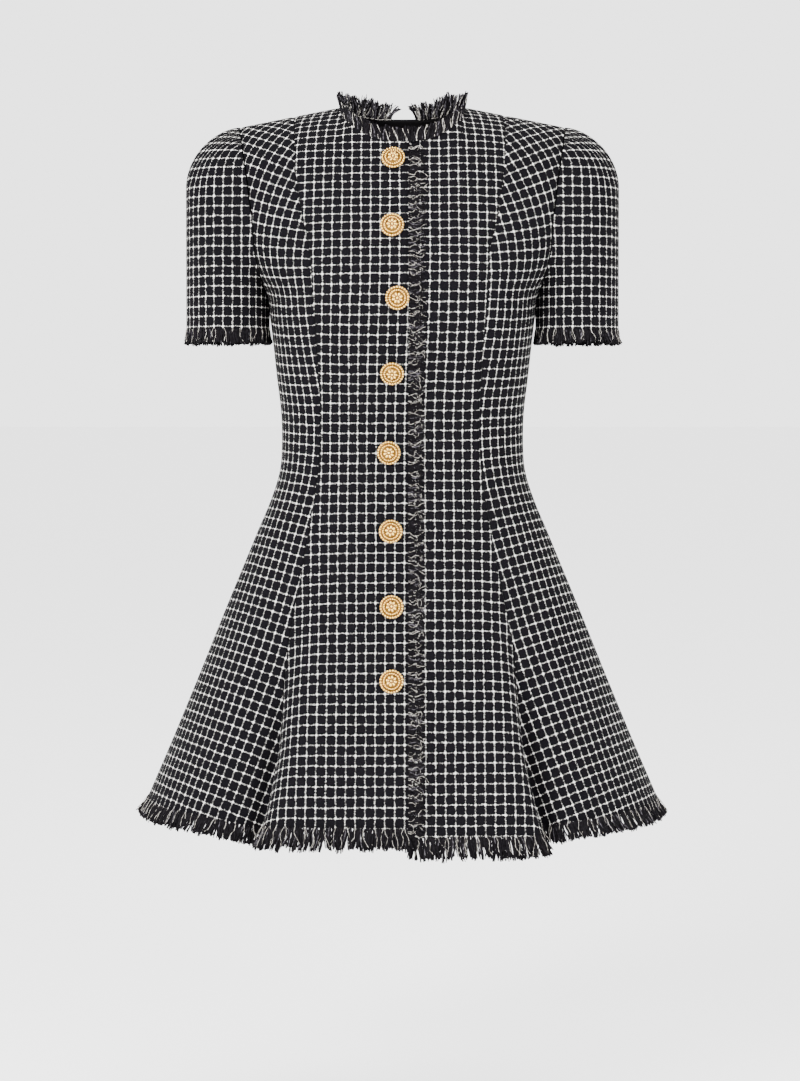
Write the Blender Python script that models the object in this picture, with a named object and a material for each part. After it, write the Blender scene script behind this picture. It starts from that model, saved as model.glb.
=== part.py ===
"""Short-sleeved flared coat dress in a checked boucle tweed with frayed edges and eight metal buttons.

The dress keeps the hollow form it has when it is worn. Units are metres, +Z is up and the front
faces -Y. The origin lies between the shoulder seams at the base of the neck, where the shoulders
hold the dress. Right and left are the wearer's, so the right side is at -X.
"""

from collections import namedtuple
from math import asin, cos, exp, pi, radians, sin, sqrt

import bmesh
import bpy
from mathutils import Matrix, Vector

# Driving sizes
CLOTH = 0.0024
SEAM_GAP = 0.0003
ARMPIT = -0.205
SKIRT_TOP = -0.44
HEM = -0.756
NECK_HALF_WIDTH = 0.068
FRONT_NECK_DROP = 0.0445
BACK_NECK_DROP = 0.004
SHOULDER_SLOPE = 0.195
SHOULDER_ROLL = 0.055       # height over which the cloth rolls from the chest to the shoulder seam
NECK_ROLL = 0.012           # the same at the middle of the neck, where the cloth stands up
CHEST_FULLNESS = 0.25       # how much squarer than an ellipse the bodice is
FULLNESS_FADE = (-0.60, -0.36)
SEAM_SHIFT = 0.003          # the princess seams sit a little to the wearer's right

# The body from the hem up: half of its width, its depth before and behind the side seams, and how
# far the front and back princess seams lie from the middle
Level = namedtuple("Level", "height half_width front back front_seam back_seam")
LEVELS = (
    Level(-0.780, 0.2915, 0.191, 0.186, 0.162, 0.154),
    Level(-0.693, 0.2540, 0.163, 0.160, 0.141, 0.132),
    Level(-0.627, 0.2266, 0.1425, 0.142, 0.1305, 0.117),
    Level(-0.561, 0.2000, 0.1225, 0.124, 0.1185, 0.103),
    Level(-0.495, 0.1727, 0.1050, 0.108, 0.1040, 0.089),
    Level(-0.462, 0.1590, 0.0975, 0.100, 0.0980, 0.083),
    Level(-0.429, 0.1450, 0.0910, 0.092, 0.0925, 0.078),
    Level(-0.396, 0.1348, 0.0860, 0.084, 0.0880, 0.074),
    Level(-0.363, 0.1325, 0.0845, 0.079, 0.0850, 0.072),
    Level(-0.330, 0.1336, 0.0880, 0.080, 0.0852, 0.074),
    Level(-0.297, 0.1375, 0.0970, 0.085, 0.0865, 0.078),
    Level(-0.264, 0.1410, 0.1080, 0.092, 0.0880, 0.083),
    Level(-0.230, 0.1450, 0.1160, 0.098, 0.0905, 0.088),
    Level(-0.205, 0.1485, 0.1185, 0.101, 0.0925, 0.091),
    Level(-0.180, 0.1645, 0.1170, 0.103, 0.0935, 0.094),
    Level(-0.155, 0.1780, 0.1120, 0.103, 0.0960, 0.097),
    Level(-0.124, 0.1860, 0.1045, 0.101, 0.1030, 0.101),
    Level(-0.080, 0.1930, 0.0900, 0.092, 0.1100, 0.106),
    Level(-0.044, 0.2000, 0.0755, 0.080, 0.1125, 0.110),
    Level(0.020, 0.2130, 0.0600, 0.050, 0.1160, 0.117),
)

# The armhole, from the armpit to where it stands upright beside the chest
ARMHOLE_RISE = 0.085
ARMHOLE_ANGLE = radians(60)
ARMHOLE_CURVE = 0.62

# The folds that the skirt falls in at its princess seams, as deep as they are at the hem
Fold = namedtuple("Fold", "crest crest_from crest_width valley centre_width side_width")
FRONT_FOLDS = {
    -1: Fold(crest=0.010, crest_from=0.045, crest_width=0.035, valley=0.024,
             centre_width=0.022, side_width=0.040),
    1: Fold(crest=0.014, crest_from=0.035, crest_width=0.040, valley=0.022,
            centre_width=0.014, side_width=0.036),
}
BACK_FOLD = Fold(crest=0.008, crest_from=0.050, crest_width=0.045, valley=0.020,
                 centre_width=0.030, side_width=0.044)
FOLD_GROWTH = 1.2           # above 1, the folds stay flat for longer below the waist

# The front edges
LAP_EDGE = 0.006            # the right front ends this far past the middle
UNDERLAP = 0.030            # the left front runs this far behind it
RECESS = CLOTH + 0.0004
RECESS_END = 0.034
RECESS_BLEND = 0.026

# Rows of cloth between the hem, the skirt's top, the armpit and the shoulder
SKIRT_ROWS = 8
WAIST_ROWS = 8
CHEST_ROWS = 10

# Columns of cloth, as shares of a panel's width
SIDE_COLUMNS = (0.0, 0.12, 0.3, 0.55, 0.8, 1.0)
SHOULDER_COLUMNS = (0.34, 0.64, 0.83, 1.0)
BACK_SIDE_COLUMNS = (0.5, 0.8, 1.0)
NECK_COLUMNS = 6
BACK_NECK_COLUMNS = 4        # on each side of the middle

# Sleeves
SLEEVE_HEM = -0.2435
SLEEVE_CENTRE = Vector((0.194, -0.004, SLEEVE_HEM))
SLEEVE_HALF_WIDTH = 0.0425
SLEEVE_HALF_DEPTH = 0.058
SLEEVE_CAP_SHARE = 0.304    # the share of the drop in which the head rounds over
SLEEVE_CAP_POWER = 1.2
SLEEVE_ROWS = 8
SLEEVE_GAP = 0.0004
ARM = Vector((0.184, -0.004, -0.13))    # a point inside the left sleeve

# Back neck facing
FACING_ROWS = 4
FACING_CLOTH = 0.0012

# Frayed bands: a strip just off the cloth's edge, with tapered locks of yarn
Fray = namedtuple("Fray", "locks strip steps width taper bend lean")
HEM_FRAY = Fray(locks=70, strip=0.003, steps=2, width=0.0165, taper=0.42, bend=0.25, lean=0.003)
NECK_FRAY = Fray(locks=30, strip=0.003, steps=3, width=0.0160, taper=0.45, bend=1.0, lean=0.003)
PLACKET_FRAY = Fray(locks=46, strip=0.003, steps=2, width=0.0175, taper=0.40, bend=0.0, lean=0.004)
SLEEVE_FRAY = Fray(locks=22, strip=0.003, steps=2, width=0.0110, taper=0.45, bend=0.3, lean=0.002)
FRAY_GAP = 0.0005
HEM_FLARE = 0.35            # how far the locks lean out, against how far they run on
NECK_FLARE = 0.55
BACK_NECK_GAP = 0.0125
PLACKET_TOP = -0.054
PLACKET_END = -0.748
HEM_SLIT = 0.0005           # the hem's band parts by twice this at the front opening

# Buttons
Button = namedtuple("Button", "height across")
BUTTONS = (
    Button(-0.0645, -0.0100),
    Button(-0.1366, -0.0110),
    Button(-0.2126, -0.0055),
    Button(-0.2906, -0.0110),
    Button(-0.3751, -0.0145),
    Button(-0.4580, -0.0125),
    Button(-0.5361, -0.0115),
    Button(-0.6116, -0.0115),
)
Ring = namedtuple("Ring", "radius height")
BUTTON_RINGS = (
    Ring(0.0122, 0.0),
    Ring(0.0137, 0.0014),
    Ring(0.0126, 0.0030),
    Ring(0.0096, 0.0034),
    Ring(0.0072, 0.0050),
    Ring(0.0034, 0.0060),
)
BUTTON_SIDES = 16
BUTTON_SEAT = 0.018         # the cloth within this reach holds the button's flat back off its hollows

# Colours and surface values
Finish = namedtuple("Finish", "color roughness metallic")
TWEED = Finish((0.045, 0.043, 0.048, 1.0), 0.9, 0.0)
YARN = Finish((0.060, 0.058, 0.062, 1.0), 0.95, 0.0)
LINING = Finish((0.008, 0.008, 0.009, 1.0), 0.55, 0.0)
GOLD = Finish((0.80, 0.56, 0.24, 1.0), 0.28, 1.0)


def ease(value, start, end):
    """0 at start, 1 at end, with no corner at either."""
    share = min(max((value - start) / (end - start), 0.0), 1.0)
    return share * share * (3 - 2 * share)


def mix(first, second, share):
    return first + (second - first) * share


def level(height, column):
    """A column of LEVELS at any height, on a smooth curve through the rows."""
    rows = [(row.height, getattr(row, column)) for row in LEVELS]
    height = min(max(height, rows[0][0]), rows[-1][0])
    index = max(i for i in range(len(rows) - 1) if rows[i][0] <= height)

    def slope(i):
        low, high = rows[max(i - 1, 0)], rows[min(i + 1, len(rows) - 1)]
        return (high[1] - low[1]) / (high[0] - low[0])

    (z0, v0), (z1, v1) = rows[index], rows[index + 1]
    span = z1 - z0
    t = (height - z0) / span
    return ((2 * t**3 - 3 * t**2 + 1) * v0 + (t**3 - 2 * t**2 + t) * span * slope(index)
            + (3 * t**2 - 2 * t**3) * v1 + (t**3 - t**2) * span * slope(index + 1))


def shoulder_height(across):
    return -SHOULDER_SLOPE * (abs(across) - NECK_HALF_WIDTH)


def neck_height(across, back):
    drop = BACK_NECK_DROP if back else FRONT_NECK_DROP
    return -drop * sqrt(max(0.0, 1 - (across / NECK_HALF_WIDTH) ** 2))


def seam_angle(side, height, back):
    """The princess seam's angle round the body, from the middle of the front or of the back."""
    across = level(height, "back_seam" if back else "front_seam")
    if not back:
        across -= side * SEAM_SHIFT
    return asin(across / level(height, "half_width"))


def armhole_angle(height):
    """The angle of the side seam, and above the armpit that of the armhole's edge."""
    if height <= ARMPIT:
        return pi / 2
    rise = min((height - ARMPIT) / ARMHOLE_RISE, 1.0)
    return pi / 2 - (pi / 2 - ARMHOLE_ANGLE) * (1 - (1 - rise) ** 2) ** ARMHOLE_CURVE


def fold_offset(angle, height, back):
    """How far the skirt's folds move the cloth out of the plain flare."""
    strength = ease(height, SKIRT_TOP, HEM) ** FOLD_GROWTH
    if strength == 0:
        return 0.0
    side = 1 if angle >= 0 else -1
    fold = BACK_FOLD if back else FRONT_FOLDS[side]
    width = level(height, "half_width")
    past = (abs(angle) - seam_angle(side, height, back)) * width
    crest = fold.crest * exp(-(((past + fold.crest_from) / fold.crest_width) ** 2))
    flank = fold.centre_width if past < 0 else fold.side_width
    valley = fold.valley * exp(-((past / flank) ** 2))
    return strength * (crest - valley)


def body_point(angle, height, back):
    """A point of the body's outer face. The angle is from the middle of its half, positive to the left."""
    width = level(height, "half_width")
    depth = level(height, "back" if back else "front")
    across = width * sin(angle)
    fullness = CHEST_FULLNESS * ease(height, *FULLNESS_FADE)
    roll_height = mix(NECK_ROLL, SHOULDER_ROLL, min((across / NECK_HALF_WIDTH) ** 2, 1.0))
    share = min(max((shoulder_height(across) - height) / roll_height, 0.0), 1.0)
    roll = sqrt(1 - (1 - share) ** 2)
    along = depth * cos(angle) * (1 + fullness * sin(angle) ** 2) * roll
    offset = fold_offset(angle, height, back)
    out = Vector((depth * sin(angle), width * cos(angle))).normalized() * offset
    along = max(along + out.y, SEAM_GAP / 2)
    return Vector((across + out.x, along if back else -along, height))


def body_normal(angle, height, back):
    """The direction that the body's outer face looks in."""
    step = 1e-4
    low, high = angle - step, angle + step
    if height > ARMPIT + ARMHOLE_RISE / 2:
        # Near the shoulder the step across keeps its distance from the shoulder seam
        width = level(height, "half_width")
        here = shoulder_height(width * sin(angle))
        before = body_point(low, height + shoulder_height(width * sin(low)) - here, back)
        after = body_point(high, height + shoulder_height(width * sin(high)) - here, back)
        up = body_point(angle, height, back) - body_point(angle, height - 1e-5, back)
    else:
        before, after = body_point(low, height, back), body_point(high, height, back)
        up = body_point(angle, height + 1e-4, back) - body_point(angle, height - 1e-4, back)
    normal = (after - before).cross(up).normalized()
    centre = Vector((0, 0, height - 0.05))
    outward = body_point(angle, height, back) - centre
    return normal if normal.dot(outward) > 0 else -normal


def level_off(normal):
    """The same direction without its rise, for an edge that is cut level."""
    return Vector((normal.x, normal.y, 0)).normalized()


def edge_to_edge(near, far):
    """The angle at a share of the way between two edges, as a function of the share and height."""
    return lambda share, height: mix(near(height), far(height), share)


def lower_rows():
    """Heights from the hem to the armpit."""
    skirt = [mix(HEM, SKIRT_TOP, row / SKIRT_ROWS) for row in range(SKIRT_ROWS)]
    return skirt + [mix(SKIRT_TOP, ARMPIT, row / WAIST_ROWS) for row in range(WAIST_ROWS)]


def chest_share(row):
    return (1 - cos(pi * row / CHEST_ROWS)) / 2


def top_of(angle_at, share, back):
    """Where a column ends, on the neckline or the shoulder seam."""
    height = -0.01
    for _ in range(12):
        across = abs(level(height, "half_width") * sin(angle_at(share, height)))
        inside = across < NECK_HALF_WIDTH - 1e-5
        height = neck_height(across, back) if inside else min(shoulder_height(across), 0.0)
    return height


def panel_points(angle_at, shares, back, recess=None):
    """The outer and inner faces of a panel, a column for each share and a row for each height."""
    outer, inner = [], []
    for share in shares:
        top = top_of(angle_at, share, back)
        heights = lower_rows() + [mix(ARMPIT, top, chest_share(row)) for row in range(CHEST_ROWS + 1)]
        outer_column, inner_column = [], []
        for height in heights:
            angle = angle_at(share, height)
            normal = body_normal(angle, height, back)
            if height == HEM:
                normal = level_off(normal)
            point = body_point(angle, height, back)
            if recess:
                point -= normal * recess(point.x)
            outer_column.append(point)
            inner_column.append(point - normal * CLOTH)
        outer.append(outer_column)
        inner.append(inner_column)
    return outer, inner


def neck_share(near, far):
    """The share at which a panel's top turns from the neckline to the shoulder seam."""
    corner = asin(NECK_HALF_WIDTH / level(0, "half_width"))
    return (corner - near(0)) / (far(0) - near(0))


def towards(end, count):
    """Shares from 0 to the end, closer together where the neckline turns up to the shoulder."""
    return [end * sin(pi / 2 * i / count) for i in range(count + 1)]


def make_finish(name, finish):
    material = bpy.data.materials.new(name)
    material.use_nodes = True
    shader = material.node_tree.nodes["Principled BSDF"]
    shader.inputs["Base Color"].default_value = finish.color
    shader.inputs["Roughness"].default_value = finish.roughness
    shader.inputs["Metallic"].default_value = finish.metallic
    material.diffuse_color = finish.color
    return material


def add_object(name, mesh_data, material):
    bmesh.ops.recalc_face_normals(mesh_data, faces=mesh_data.faces)
    if mesh_data.calc_volume(signed=True) < 0:
        bmesh.ops.reverse_faces(mesh_data, faces=mesh_data.faces)
    mesh = bpy.data.meshes.new(name)
    mesh_data.to_mesh(mesh)
    mesh_data.free()
    mesh.materials.append(material)
    mesh.shade_smooth()
    mesh.set_sharp_from_angle(angle=radians(40))
    thing = bpy.data.objects.new(name, mesh)
    bpy.context.scene.collection.objects.link(thing)
    return thing


def make_wall(name, outer, inner, material, closed=False):
    """A wall between two grids of points. A closed one joins its last column to its first."""
    shape = bmesh.new()
    faces_of = [[[shape.verts.new(p) for p in column] for column in grid] for grid in (outer, inner)]
    columns, rows = len(outer), len(outer[0])
    pairs = [(i, (i + 1) % columns) for i in range(columns if closed else columns - 1)]
    front, rear = faces_of
    for i, k in pairs:
        for j in range(rows - 1):
            # Both faces are split along the same diagonal, so the wall keeps its thickness
            for face in (front, rear):
                shape.faces.new((face[i][j], face[k][j], face[k][j + 1]))
                shape.faces.new((face[i][j], face[k][j + 1], face[i][j + 1]))
        for j in (0, rows - 1):
            shape.faces.new((front[i][j], rear[i][j], rear[k][j], front[k][j]))
    for i in () if closed else (0, columns - 1):
        for j in range(rows - 1):
            shape.faces.new((front[i][j], front[i][j + 1], rear[i][j + 1], rear[i][j]))
    return add_object(name, shape, material)


def seam_edge(side, back, past):
    """A panel's edge along a princess seam, past=1 on the side panel and -1 on the centre one."""
    def angle(height):
        gap = SEAM_GAP / (1.3 * level(height, "half_width"))
        return seam_angle(side, height, back) + past * gap
    return angle


def front_edge(across):
    return lambda height: asin(across / level(height, "half_width"))


def underlap_recess(across):
    """The left front lies this far back, to pass behind the right one."""
    return RECESS * (1 - ease(across, RECESS_END, RECESS_END + RECESS_BLEND))


def front_cut(side):
    """How a front is laid out, from its own edge past the middle to its princess seam."""
    near = front_edge(-UNDERLAP if side > 0 else -LAP_EDGE)
    far = seam_edge(side, False, -1)
    neck = neck_share(near, far)
    shares = towards(neck, NECK_COLUMNS)
    shares += [mix(neck, 1, part) for part in SHOULDER_COLUMNS]
    plain = edge_to_edge(near, far)
    return lambda share, height: side * plain(share, height), shares


def back_cut():
    """How the centre back is laid out, with the columns that end on the neckline in its middle."""
    far = seam_edge(1, True, -1)
    neck = neck_share(lambda height: 0.0, far)
    outer_shares = [mix(neck, 1, part) for part in BACK_SIDE_COLUMNS]
    half = towards(neck, BACK_NECK_COLUMNS)
    neck_shares = [-share for share in reversed(half[1:])] + half
    shares = [-share for share in reversed(outer_shares)] + neck_shares + outer_shares
    return lambda share, height: share * far(height), shares


def side_cut(side, back):
    """How a side panel is laid out, from its princess seam to the side seam and the armhole."""
    plain = edge_to_edge(seam_edge(side, back, 1), armhole_angle)
    return lambda share, height: side * plain(share, height), SIDE_COLUMNS


def make_front(name, side, material):
    angle_at, shares = front_cut(side)
    recess = underlap_recess if side > 0 else None
    outer, inner = panel_points(angle_at, shares, False, recess)
    make_wall(name, outer, inner, material)


def make_centre_back(name, facing_name, material, lining):
    """The centre back, and the facing that lies against its inside between the shoulders."""
    angle_at, shares = back_cut()
    outer, inner = panel_points(angle_at, shares, True)
    make_wall(name, outer, inner, material)

    facing = [[], []]
    for column in range(len(BACK_SIDE_COLUMNS), len(shares) - len(BACK_SIDE_COLUMNS)):
        pairs = list(zip(outer[column], inner[column]))[-FACING_ROWS:]
        for points, depth in zip(facing, (SEAM_GAP, SEAM_GAP + FACING_CLOTH)):
            points.append([rear + (rear - face).normalized() * depth for face, rear in pairs])
    make_wall(facing_name, facing[0], facing[1], lining)


def make_side_panel(name, side, back, material):
    angle_at, shares = side_cut(side, back)
    outer, inner = panel_points(angle_at, shares, back)
    make_wall(name, outer, inner, material)


def armhole_point(turn):
    """The armhole's edge, turn 0 at the shoulder tip, a quarter at the front and half at the armpit."""
    tip = top_of(lambda share, height: armhole_angle(height), 1.0, False)
    height = mix(ARMPIT, tip, (1 + cos(2 * pi * turn)) / 2)
    return body_point(armhole_angle(height), height, turn > 0.5)


def sleeve_point(turn, drop):
    """A point of the left sleeve's outer face, drop 0 at the armhole and 1 at the hem."""
    turn = turn % 1.0
    start = armhole_point(turn) + Vector((SLEEVE_GAP, 0, SLEEVE_GAP * exp(-((turn - 0.5) / 0.12) ** 2)))
    around = Vector((SLEEVE_HALF_WIDTH * cos(2 * pi * turn), -SLEEVE_HALF_DEPTH * sin(2 * pi * turn), 0))
    end = SLEEVE_CENTRE + around
    curve = min(drop / 0.5, 1.0) * pi / 2
    out = sin(curve) ** SLEEVE_CAP_POWER
    down = SLEEVE_CAP_SHARE * (1 - cos(curve))
    down += (1 - SLEEVE_CAP_SHARE) * max(drop - 0.5, 0.0) / 0.5
    return Vector((mix(start.x, end.x, out), mix(start.y, end.y, out), mix(start.z, end.z, down)))


def sleeve_normal(turn, drop):
    step = 1e-3
    across = sleeve_point(turn + step, drop) - sleeve_point(turn - step, drop)
    low, high = max(drop - step, 0.0), min(drop + step, 1.0)
    normal = (sleeve_point(turn, high) - sleeve_point(turn, low)).cross(across).normalized()
    return normal if normal.dot(sleeve_point(turn, drop) - ARM) > 0 else -normal


def make_sleeve(name, side, material):
    outer, inner = [], []
    for column in range(2 * CHEST_ROWS):
        turn = column / (2 * CHEST_ROWS)
        points, backs = [], []
        for row in range(SLEEVE_ROWS + 1):
            drop = row / SLEEVE_ROWS
            point = sleeve_point(turn, drop)
            normal = sleeve_normal(turn, drop)
            rear = point - (level_off(normal) if row == SLEEVE_ROWS else normal) * CLOTH
            points.append(Vector((side * point.x, point.y, point.z)))
            backs.append(Vector((side * rear.x, rear.y, rear.z)))
        outer.append(points)
        inner.append(backs)
    return make_wall(name, outer, inner, material, closed=True)


Key = namedtuple("Key", "point normal")
Station = namedtuple("Station", "point normal outward")


def place_on(keys, lengths, target):
    """The point and normal at a length along the straight runs between keys."""
    index = max(i for i in range(len(lengths) - 1) if i == 0 or lengths[i] <= target)
    share = (target - lengths[index]) / (lengths[index + 1] - lengths[index])
    first, second = keys[index], keys[index + 1]
    return Key(first.point.lerp(second.point, share), first.normal.lerp(second.normal, share).normalized())


def stations_along(keys, wanted, count, closed=False, trim=0.0):
    """Equal steps along an edge, each with the direction that points away from the cloth."""
    lengths = [0.0]
    for a, b in zip(keys, keys[1:]):
        lengths.append(lengths[-1] + (b.point - a.point).length)
    span = lengths[-1] - 2 * trim
    targets = [trim + span * i / count for i in range(count if closed else count + 1)]
    places = [place_on(keys, lengths, target) for target in targets]
    stations = []
    for i, place in enumerate(places):
        before = places[i - 1 if closed else max(i - 1, 0)]
        after = places[(i + 1) % len(places) if closed else min(i + 1, len(places) - 1)]
        outward = place.normal.cross(after.point - before.point).normalized()
        if outward.dot(wanted(place.point)) < 0:
            outward = -outward
        stations.append(Station(place.point, place.normal, outward))
    return stations


def make_fray(name, stations, fray, goal_of, material, closed=False, level_cut=False):
    """A strip along an edge with a lock of yarn on every other step of it."""
    shape = bmesh.new()
    rings = []
    for station in stations:
        near = station.point + station.outward * FRAY_GAP
        far = near + station.outward * fray.strip
        back = (level_off(station.normal) if level_cut else station.normal) * CLOTH
        rings.append([shape.verts.new(p) for p in (near, far, far - back, near - back)])
    count = len(rings)
    for i in range(count if closed else count - 1):
        k = (i + 1) % count
        for side in (0, 2, 3):
            after = (side + 1) % 4
            shape.faces.new((rings[i][side], rings[k][side], rings[k][after], rings[i][after]))
        root = (rings[i][1], rings[k][1], rings[k][2], rings[i][2])
        if i % 2:
            shape.faces.new(root)
        else:
            add_lock(shape, root, stations[i], stations[k], fray, goal_of, i)
    if not closed:
        shape.faces.new(rings[0])
        shape.faces.new(rings[-1])
    return add_object(name, shape, material)


def add_lock(shape, root, first, second, fray, goal_of, index):
    """A tapered lock from a root face, bending from the cloth's own direction to its goal."""
    outward = (first.outward + second.outward).normalized()
    across = (root[1].co - root[0].co).normalized()
    goal = goal_of((first.point + second.point) / 2, outward)
    centre = sum((vertex.co for vertex in root), Vector()) / 4
    flip = 1 if outward.cross(across).dot(first.normal) > 0 else -1
    width = (root[1].co - root[0].co).length
    ring = list(root)
    lean = fray.lean * sin(2.4 * index)
    length = fray.width * (0.88 + 0.12 * sin(1.7 * index + 0.6))
    for step in range(1, fray.steps + 1):
        share = step / fray.steps
        direction = outward.lerp(goal, fray.bend * share).normalized()
        centre = centre + direction * (length / fray.steps) + across * (lean / fray.steps)
        thick = direction.cross(across) * flip * CLOTH / 2 * mix(1, fray.taper, share)
        half = across * width / 2 * mix(1, fray.taper, share)
        corners = (centre - half + thick, centre + half + thick, centre + half - thick,
                   centre - half - thick)
        following = [shape.verts.new(corner) for corner in corners]
        for side in range(4):
            after = (side + 1) % 4
            shape.faces.new((ring[side], ring[after], following[after], following[side]))
        ring = following
    shape.faces.new(ring)


def body_key(angle, height, back):
    return Key(body_point(angle, height, back), body_normal(angle, height, back))


def hem_keys():
    """The corners of the panels' hem, from the right front's edge by the left side all the way round."""
    turns = []
    for side in (-1, 1):
        angle_at, shares = front_cut(side)
        turns += [angle_at(share, HEM) for share in shares]
        angle_at, shares = side_cut(side, False)
        turns += [angle_at(share, HEM) for share in shares[:-1]]
        angle_at, shares = side_cut(side, True)
        turns += [pi - angle_at(share, HEM) for share in shares]
    angle_at, shares = back_cut()
    turns += [pi - angle_at(share, HEM) for share in shares]
    start = asin(LAP_EDGE / level(HEM, "half_width"))
    turns = [turn if turn > start else turn + 2 * pi for turn in turns]
    turns = [start] + sorted(turn for turn in turns if start < turn < start + 2 * pi)
    return [body_key(asin(sin(turn)), HEM, cos(turn) < 0) for turn in turns + [start + 2 * pi]]


def neck_keys():
    """The corners of the panels' neckline, from the back's middle by the left side all the way round."""
    angle_at, shares = back_cut()
    back = [angle_at(share, 0) for share in shares]
    left, right = [], []
    for side, angles in ((1, left), (-1, right)):
        angle_at, shares = front_cut(side)
        angles += [angle_at(share, top_of(angle_at, share, False)) for share in shares]
    lap = front_edge(LAP_EDGE)(0)
    corner = asin(NECK_HALF_WIDTH / level(0, "half_width")) + 1e-4
    sides = [
        (sorted(angle for angle in back if 0 <= angle <= corner), True),
        (sorted((angle for angle in left if lap < angle < corner - 2e-4), reverse=True), False),
        (sorted((angle for angle in right if 2e-4 - corner < angle <= lap), reverse=True), False),
        (sorted(angle for angle in back if -corner <= angle <= 0), True),
    ]
    keys = []
    for angles, is_back in sides:
        for angle in angles:
            height = top_of(lambda share, z: angle, 0, is_back)
            keys.append(body_key(angle, height, is_back))
    return keys


def placket_keys():
    angle = front_edge(LAP_EDGE)
    heights = lower_rows() + [mix(ARMPIT, PLACKET_TOP, chest_share(row)) for row in range(CHEST_ROWS + 1)]
    heights = [max(height, PLACKET_END) for height in heights]
    return [body_key(angle(height), height, False) for height in heights]


def sleeve_keys(side):
    keys = []
    for column in range(2 * CHEST_ROWS + 1):
        turn = column / (2 * CHEST_ROWS)
        point, normal = sleeve_point(turn, 1.0), sleeve_normal(turn, 1.0)
        keys.append(Key(Vector((side * point.x, point.y, point.z)),
                        Vector((side * normal.x, normal.y, normal.z))))
    return keys


def flare_down(point, outward):
    return (outward + Vector((point.x, point.y, 0)).normalized() * HEM_FLARE).normalized()


def stand_up(point, outward):
    away = Vector((point.x, point.y, 0)).normalized()
    return (Vector((0, 0, 1)) + away * NECK_FLARE).normalized()


def straight_on(point, outward):
    return outward


def downwards(point):
    return Vector((0, 0, -1))


def into_the_neck(point):
    return Vector((-point.x, -point.y, 0.15))


def past_the_lap(point):
    return Vector((1, 0, 0))


def make_frays(material):
    stations = stations_along(hem_keys(), downwards, 2 * HEM_FRAY.locks - 1, trim=HEM_SLIT)
    make_fray("hem_fringe", stations, HEM_FRAY, flare_down, material, level_cut=True)

    stations = stations_along(neck_keys(), into_the_neck, 2 * NECK_FRAY.locks - 1, trim=BACK_NECK_GAP)
    make_fray("neck_fringe", stations, NECK_FRAY, stand_up, material)

    stations = stations_along(placket_keys(), past_the_lap, 2 * PLACKET_FRAY.locks - 1)
    make_fray("placket_fringe", stations, PLACKET_FRAY, straight_on, material)

    for name, side in (("sleeve_fringe_right", -1), ("sleeve_fringe_left", 1)):
        stations = stations_along(sleeve_keys(side), downwards, 2 * SLEEVE_FRAY.locks, closed=True)
        make_fray(name, stations, SLEEVE_FRAY, straight_on, material, closed=True, level_cut=True)


def make_button(name, spot, material):
    """A domed button, turned about the line on which it is sewn."""
    angle = asin(spot.across / level(spot.height, "half_width"))
    point, normal = body_point(angle, spot.height, False), body_normal(angle, spot.height, False)
    around = [body_point(angle, spot.height + reach, False) for reach in (-BUTTON_SEAT, BUTTON_SEAT)]
    lift = max(0.0, *((near - point).dot(normal) for near in around)) + SEAM_GAP
    shape = bmesh.new()
    rings = []
    for ring in BUTTON_RINGS:
        made = bmesh.ops.create_circle(shape, segments=BUTTON_SIDES, radius=ring.radius,
                                       matrix=Matrix.Translation((0, 0, ring.height)))
        rings.append(made["verts"])
    for low, high in zip(rings, rings[1:]):
        for i in range(BUTTON_SIDES):
            k = (i + 1) % BUTTON_SIDES
            shape.faces.new((low[i], low[k], high[k], high[i]))
    shape.faces.new(rings[0])
    shape.faces.new(rings[-1])
    turn = normal.to_track_quat("Z", "Y").to_matrix().to_4x4()
    place = Matrix.Translation(point + normal * lift) @ turn
    bmesh.ops.transform(shape, matrix=place, verts=shape.verts)
    return add_object(name, shape, material)


def main():
    for thing in list(bpy.data.objects):
        bpy.data.objects.remove(thing)
    tweed = make_finish("checked boucle tweed", TWEED)
    yarn = make_finish("frayed yarn", YARN)
    lining = make_finish("smooth facing cloth", LINING)
    gold = make_finish("gold plated metal", GOLD)

    make_front("front_right", -1, tweed)
    make_front("front_left", 1, tweed)
    make_centre_back("centre_back", "back_neck_facing", tweed, lining)
    for name, side in (("right", -1), ("left", 1)):
        make_side_panel("side_front_" + name, side, False, tweed)
        make_side_panel("side_back_" + name, side, True, tweed)
        make_sleeve("sleeve_" + name, side, tweed)
    make_frays(yarn)
    for number, spot in enumerate(BUTTONS, 1):
        make_button(f"button_{number}", spot, gold)


main()
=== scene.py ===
import random
from math import cos, pi, radians, sin

import bmesh
import bpy
import numpy as np
from mathutils import Matrix, Vector


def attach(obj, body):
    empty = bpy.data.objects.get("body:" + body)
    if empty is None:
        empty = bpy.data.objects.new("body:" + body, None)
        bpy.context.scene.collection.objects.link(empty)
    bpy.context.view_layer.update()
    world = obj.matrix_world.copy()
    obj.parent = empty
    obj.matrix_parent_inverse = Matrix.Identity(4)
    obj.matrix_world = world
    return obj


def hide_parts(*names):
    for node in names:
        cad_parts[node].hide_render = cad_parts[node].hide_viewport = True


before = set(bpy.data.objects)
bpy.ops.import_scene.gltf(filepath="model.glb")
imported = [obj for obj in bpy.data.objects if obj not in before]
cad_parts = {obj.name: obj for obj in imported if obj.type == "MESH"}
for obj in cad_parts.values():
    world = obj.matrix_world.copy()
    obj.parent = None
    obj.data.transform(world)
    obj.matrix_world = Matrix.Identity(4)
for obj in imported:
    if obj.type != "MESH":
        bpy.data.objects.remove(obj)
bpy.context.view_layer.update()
print("frame loaded:", len(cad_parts), "nodes")


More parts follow.
